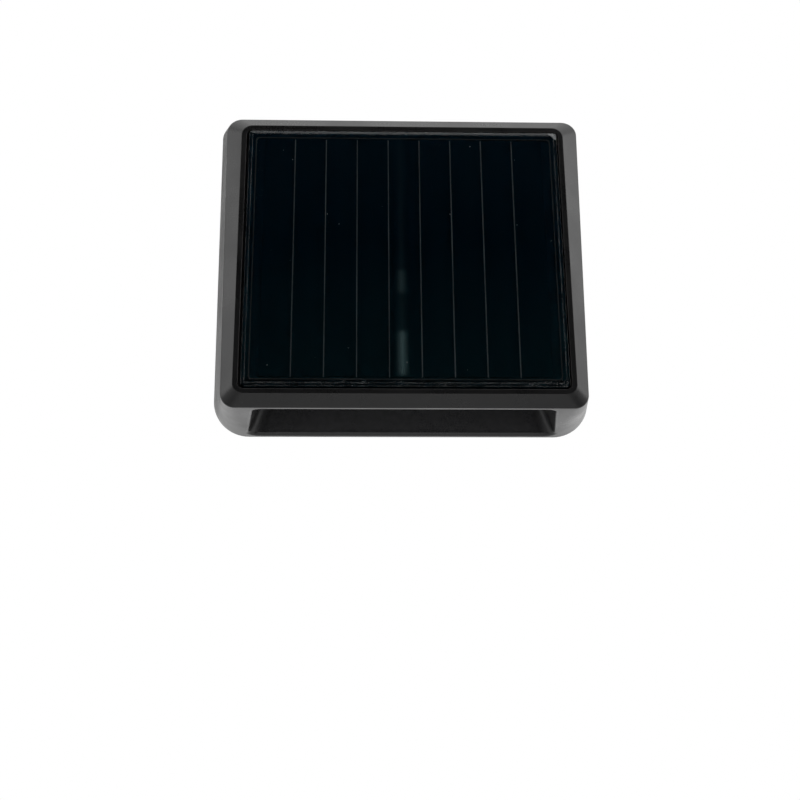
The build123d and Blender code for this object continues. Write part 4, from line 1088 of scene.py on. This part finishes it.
@dataclass
class Studio:
    """White room with a pale floor, soft boxes, and dark and grey cards that the light mirrors."""

    ambient: float = 0.8
    seen_white: float = 1.0
    floor_across: Pair = (-1.2, 1.2)
    floor_edges: Edges = ((-1.2, -0.6), (1.2, -0.6))
    floor_patch: float = 0.25
    floor_greys: Shades = (grey(0.78), grey(0.82))
    floor_roughness: float = 0.9
    felt_patch: float = 0.02
    felt_greys: Shades = (grey(0.002), grey(0.004))
    card_across: Pair = (-1.3, 1.3)
    card_edges: Edges = ((-1.0, -0.1), (-1.0, 1.4))
    glow_across: float = 0.036
    glow_half: float = 0.009
    glow_heights: Pair = (0.40, 0.78)
    glow_depth: float = -0.99
    glow_fall: float = 2.0
    glow_colour: Colour = (0.62, 1.0, 1.02)
    # Heights on the slim light panel with their brightness: a bright part, a shorter dim one, a faint rest.
    glow_levels: tuple[Pair, ...] = (
        (0.431, 0.0), (0.435, 1.00), (0.484, 1.00), (0.489, 0.10), (0.534, 0.07), (0.539, 0.42),
        (0.563, 0.38), (0.568, 0.07), (0.60, 0.06), (0.74, 0.04), (0.775, 0.0))
    flag_across: Pair = (-0.7, -0.05)
    flag_edges: Edges = ((0.28, 0.0), (0.28, 0.5))
    flag_rise: Pair = (0.0, 0.12)
    flag_greys: Shades = (grey(0.90), grey(0.55))
    low_card_place: Triple = (0.396, -0.376, -0.295)
    low_card_core: float = 0.07
    low_card_half: float = 0.25
    boxes: tuple[SoftBox, ...] = (
        SoftBox("top_soft_box", (0.0, -0.03, 0.85), (1.5, 0.5), 1.5),
        SoftBox("left_soft_box", (-0.85, -0.40, 0.42), (0.5, 0.7), 1.3),
        SoftBox("right_soft_box", (0.85, -0.40, 0.42), (0.5, 0.7), 2.2),
    )

    def build(self) -> None:
        """Set up the room and its lamps."""
        self.world()
        self.floor()
        self.card()
        self.light_panel()
        self.flag()
        for side in Side:
            self.low_card(side)
        for box in self.boxes:
            box.build()

    def world(self) -> None:
        """White background for the eye, gloss and glass, and a softer light for the rest."""
        world = bpy.data.worlds.new("white_room")
        bpy.context.scene.world = world
        world.use_nodes = True
        tree = world.node_tree
        tree.nodes.clear()
        nodes = Nodes(tree)
        seen = nodes.node("LightPath", "Is Camera Ray", {})
        for kind in ("Is Glossy Ray", "Is Transmission Ray"):
            either = {0: seen, 1: nodes.node("LightPath", kind, {})}
            seen = nodes.node("Math", "Value", either, operation="ADD", use_clamp=True)
        lights = {"Fac": seen}
        for slot, strength in ((1, self.ambient), (2, self.seen_white)):
            light = {"Color": grey(1.0), "Strength": strength}
            lights[slot] = nodes.node("Background", "Background", light)
        output = tree.nodes.new("ShaderNodeOutputWorld")
        nodes.put(nodes.node("MixShader", "Shader", lights), output.inputs["Surface"])

    def sheet(self, name: str, corners: list[Vector], material: bpy.types.Material) -> bpy.types.Object:
        """Flat staged sheet.

        Args:
            name: Name of the sheet.
            corners: Its four corners.
            material: Its material.

        Returns:
            The sheet.
        """
        data = bpy.data.meshes.new(name)
        data.from_pydata(corners, [], [(0, 1, 2, 3)])
        data.materials.append(material)
        sheet = bpy.data.objects.new(name, data)
        bpy.context.scene.collection.objects.link(sheet)
        return sheet

    def strip(self, across: Pair, edges: Edges) -> list[Vector]:
        """Corners of a sheet between two edges along X, each with its Y and Z."""
        turns = ((0, 0), (1, 0), (1, 1), (0, 1))
        return [Vector((across[side], *edges[end])) for side, end in turns]

    def mirrored_only(self, sheet: bpy.types.Object) -> None:
        """Hide a staged sheet from the eye and from soft light, so that only gloss and glass show it."""
        sheet.visible_camera = False
        sheet.visible_shadow = sheet.visible_diffuse = False

    def dark_felt(self, name: str) -> FinishSheet:
        """Nearly black felt without gloss.

        Args:
            name: Name of the material.

        Returns:
            Its node tree.
        """
        felt = FinishSheet(name)
        base = felt.mottle(felt.noise(self.felt_patch, detail=3.0), *self.felt_greys)
        felt.shade(Base_Color=base, Roughness=1.0, Specular_IOR_Level=0.0)
        return felt

    def floor(self) -> None:
        """Pale floor well below the light."""
        paper = FinishSheet("pale_floor_paper")
        base = paper.mottle(paper.noise(self.floor_patch, detail=3.0), *self.floor_greys)
        paper.shade(Base_Color=base, Roughness=self.floor_roughness)
        self.sheet("pale_floor", self.strip(self.floor_across, self.floor_edges), paper.material)

    def card(self) -> None:
        """Dark card behind the camera, which the panel mirrors."""
        corners = self.strip(self.card_across, self.card_edges)
        felt = self.dark_felt("dark_card_felt")
        self.sheet("dark_card", corners, felt.material).visible_camera = False

    def light_panel(self) -> None:
        """Slim dim light panel in front of the card, which the clear sheet mirrors as a faint streak."""
        glow = FinishSheet("slim_panel_glow")
        low, high = self.glow_heights
        stops = [((z - low) / (high - low), scaled(self.glow_colour, level)) for z, level in self.glow_levels]
        offset = glow.math("ABSOLUTE", glow.math("SUBTRACT", glow.axis("X"), self.glow_across))
        fall = glow.span(offset, 0.0, self.glow_half, 1.0, 0.0)
        glow.shade(
            Base_Color=grey(0.0),
            Specular_IOR_Level=0.0,
            Emission_Color=glow.tint(glow.span(glow.axis("Z"), low, high), stops),
            Emission_Strength=glow.math("POWER", fall, self.glow_fall),
        )
        across = (self.glow_across - self.glow_half, self.glow_across + self.glow_half)
        corners = self.strip(across, [(self.glow_depth, height) for height in self.glow_heights])
        self.sheet("slim_light_panel", corners, glow.material).visible_camera = False

    def flag(self) -> None:
        """Graded grey card behind the light, which softens the white room in its left side wall."""
        felt = FinishSheet("grey_flag_felt")
        rise = felt.span(felt.axis("Z"), *self.flag_rise)
        base = felt.mottle(rise, *self.flag_greys, places=(0.0, 1.0))
        felt.shade(Base_Color=base, Roughness=1.0, Specular_IOR_Level=0.0)
        corners = self.strip(self.flag_across, self.flag_edges)
        self.mirrored_only(self.sheet("grey_flag", corners, felt.material))

    def low_card(self, side: Side) -> None:
        """Dark card with a soft edge low beside the light, which a lower corner of the frame mirrors.

        Args:
            side: Side of the light.
        """
        name = f"low_card_{side.name.lower()}"
        across, depth, height = self.low_card_place
        middle = Vector((side.value * across, depth, height))
        felt = self.dark_felt(f"{name}_felt")
        felt.shade(Alpha=felt.span(felt.distance(middle), self.low_card_core, self.low_card_half, 1.0, 0.0))
        along = middle.cross(Vector((0.0, 0.0, 1.0))).normalized() * self.low_card_half
        rise = along.cross(middle).normalized() * self.low_card_half
        corners = [middle - along - rise, middle + along - rise, middle + along + rise, middle - along + rise]
        self.mirrored_only(self.sheet(name, corners, felt.material))


@dataclass
class PhotoCamera:
    """Camera at the viewing angle of the photograph, below the light and a little to its left."""

    pitch: float = -15.848
    turn: float = 1.921
    roll: float = 0.349
    across: float = 0.151 * MM
    above: float = 37.755 * MM
    distance: float = 394.718 * MM
    focal_pixels: float = 1296.39
    image_pixels: float = 800.0
    sensor: float = 36.0
    clip: Pair = (0.01, 20.0)

    def build(self) -> None:
        """Create the camera and make it the scene's."""
        upright = Matrix(((1, 0, 0), (0, 0, 1), (0, -1, 0)))
        roll = Matrix.Rotation(math.radians(self.roll), 3, "Z")
        pitch = Matrix.Rotation(math.radians(self.pitch), 3, "X")
        turn = Matrix.Rotation(math.radians(self.turn), 3, "Y")
        axes = (roll @ pitch @ turn @ upright).transposed()
        place = axes @ Vector((-self.across, -self.above, self.distance))
        data = bpy.data.cameras.new("photo_camera")
        data.sensor_width = self.sensor
        data.lens = self.focal_pixels / self.image_pixels * self.sensor
        data.clip_start, data.clip_end = self.clip
        camera = bpy.data.objects.new("photo_camera", data)
        camera.matrix_world = Matrix.Translation(place) @ axes.to_4x4()
        bpy.context.scene.collection.objects.link(camera)
        bpy.context.scene.camera = camera


def main() -> None:
    """Dress the light, add its small fittings, and set up the studio and the camera."""
    logging.basicConfig(level=logging.INFO, format="%(message)s")
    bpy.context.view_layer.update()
    bpy.context.scene.view_settings.view_transform = "Standard"
    Housing().dress()
    SolarPanel().dress()
    window = LampWindow()
    window.dress()
    window.build()
    board = ControlBoard()
    board.dress()
    board.build()
    ModeSwitch().dress()
    BatteryPack().dress()
    Wiring().dress()
    Studio().build()
    PhotoCamera().build()


if __name__ == "__main__":
    main()
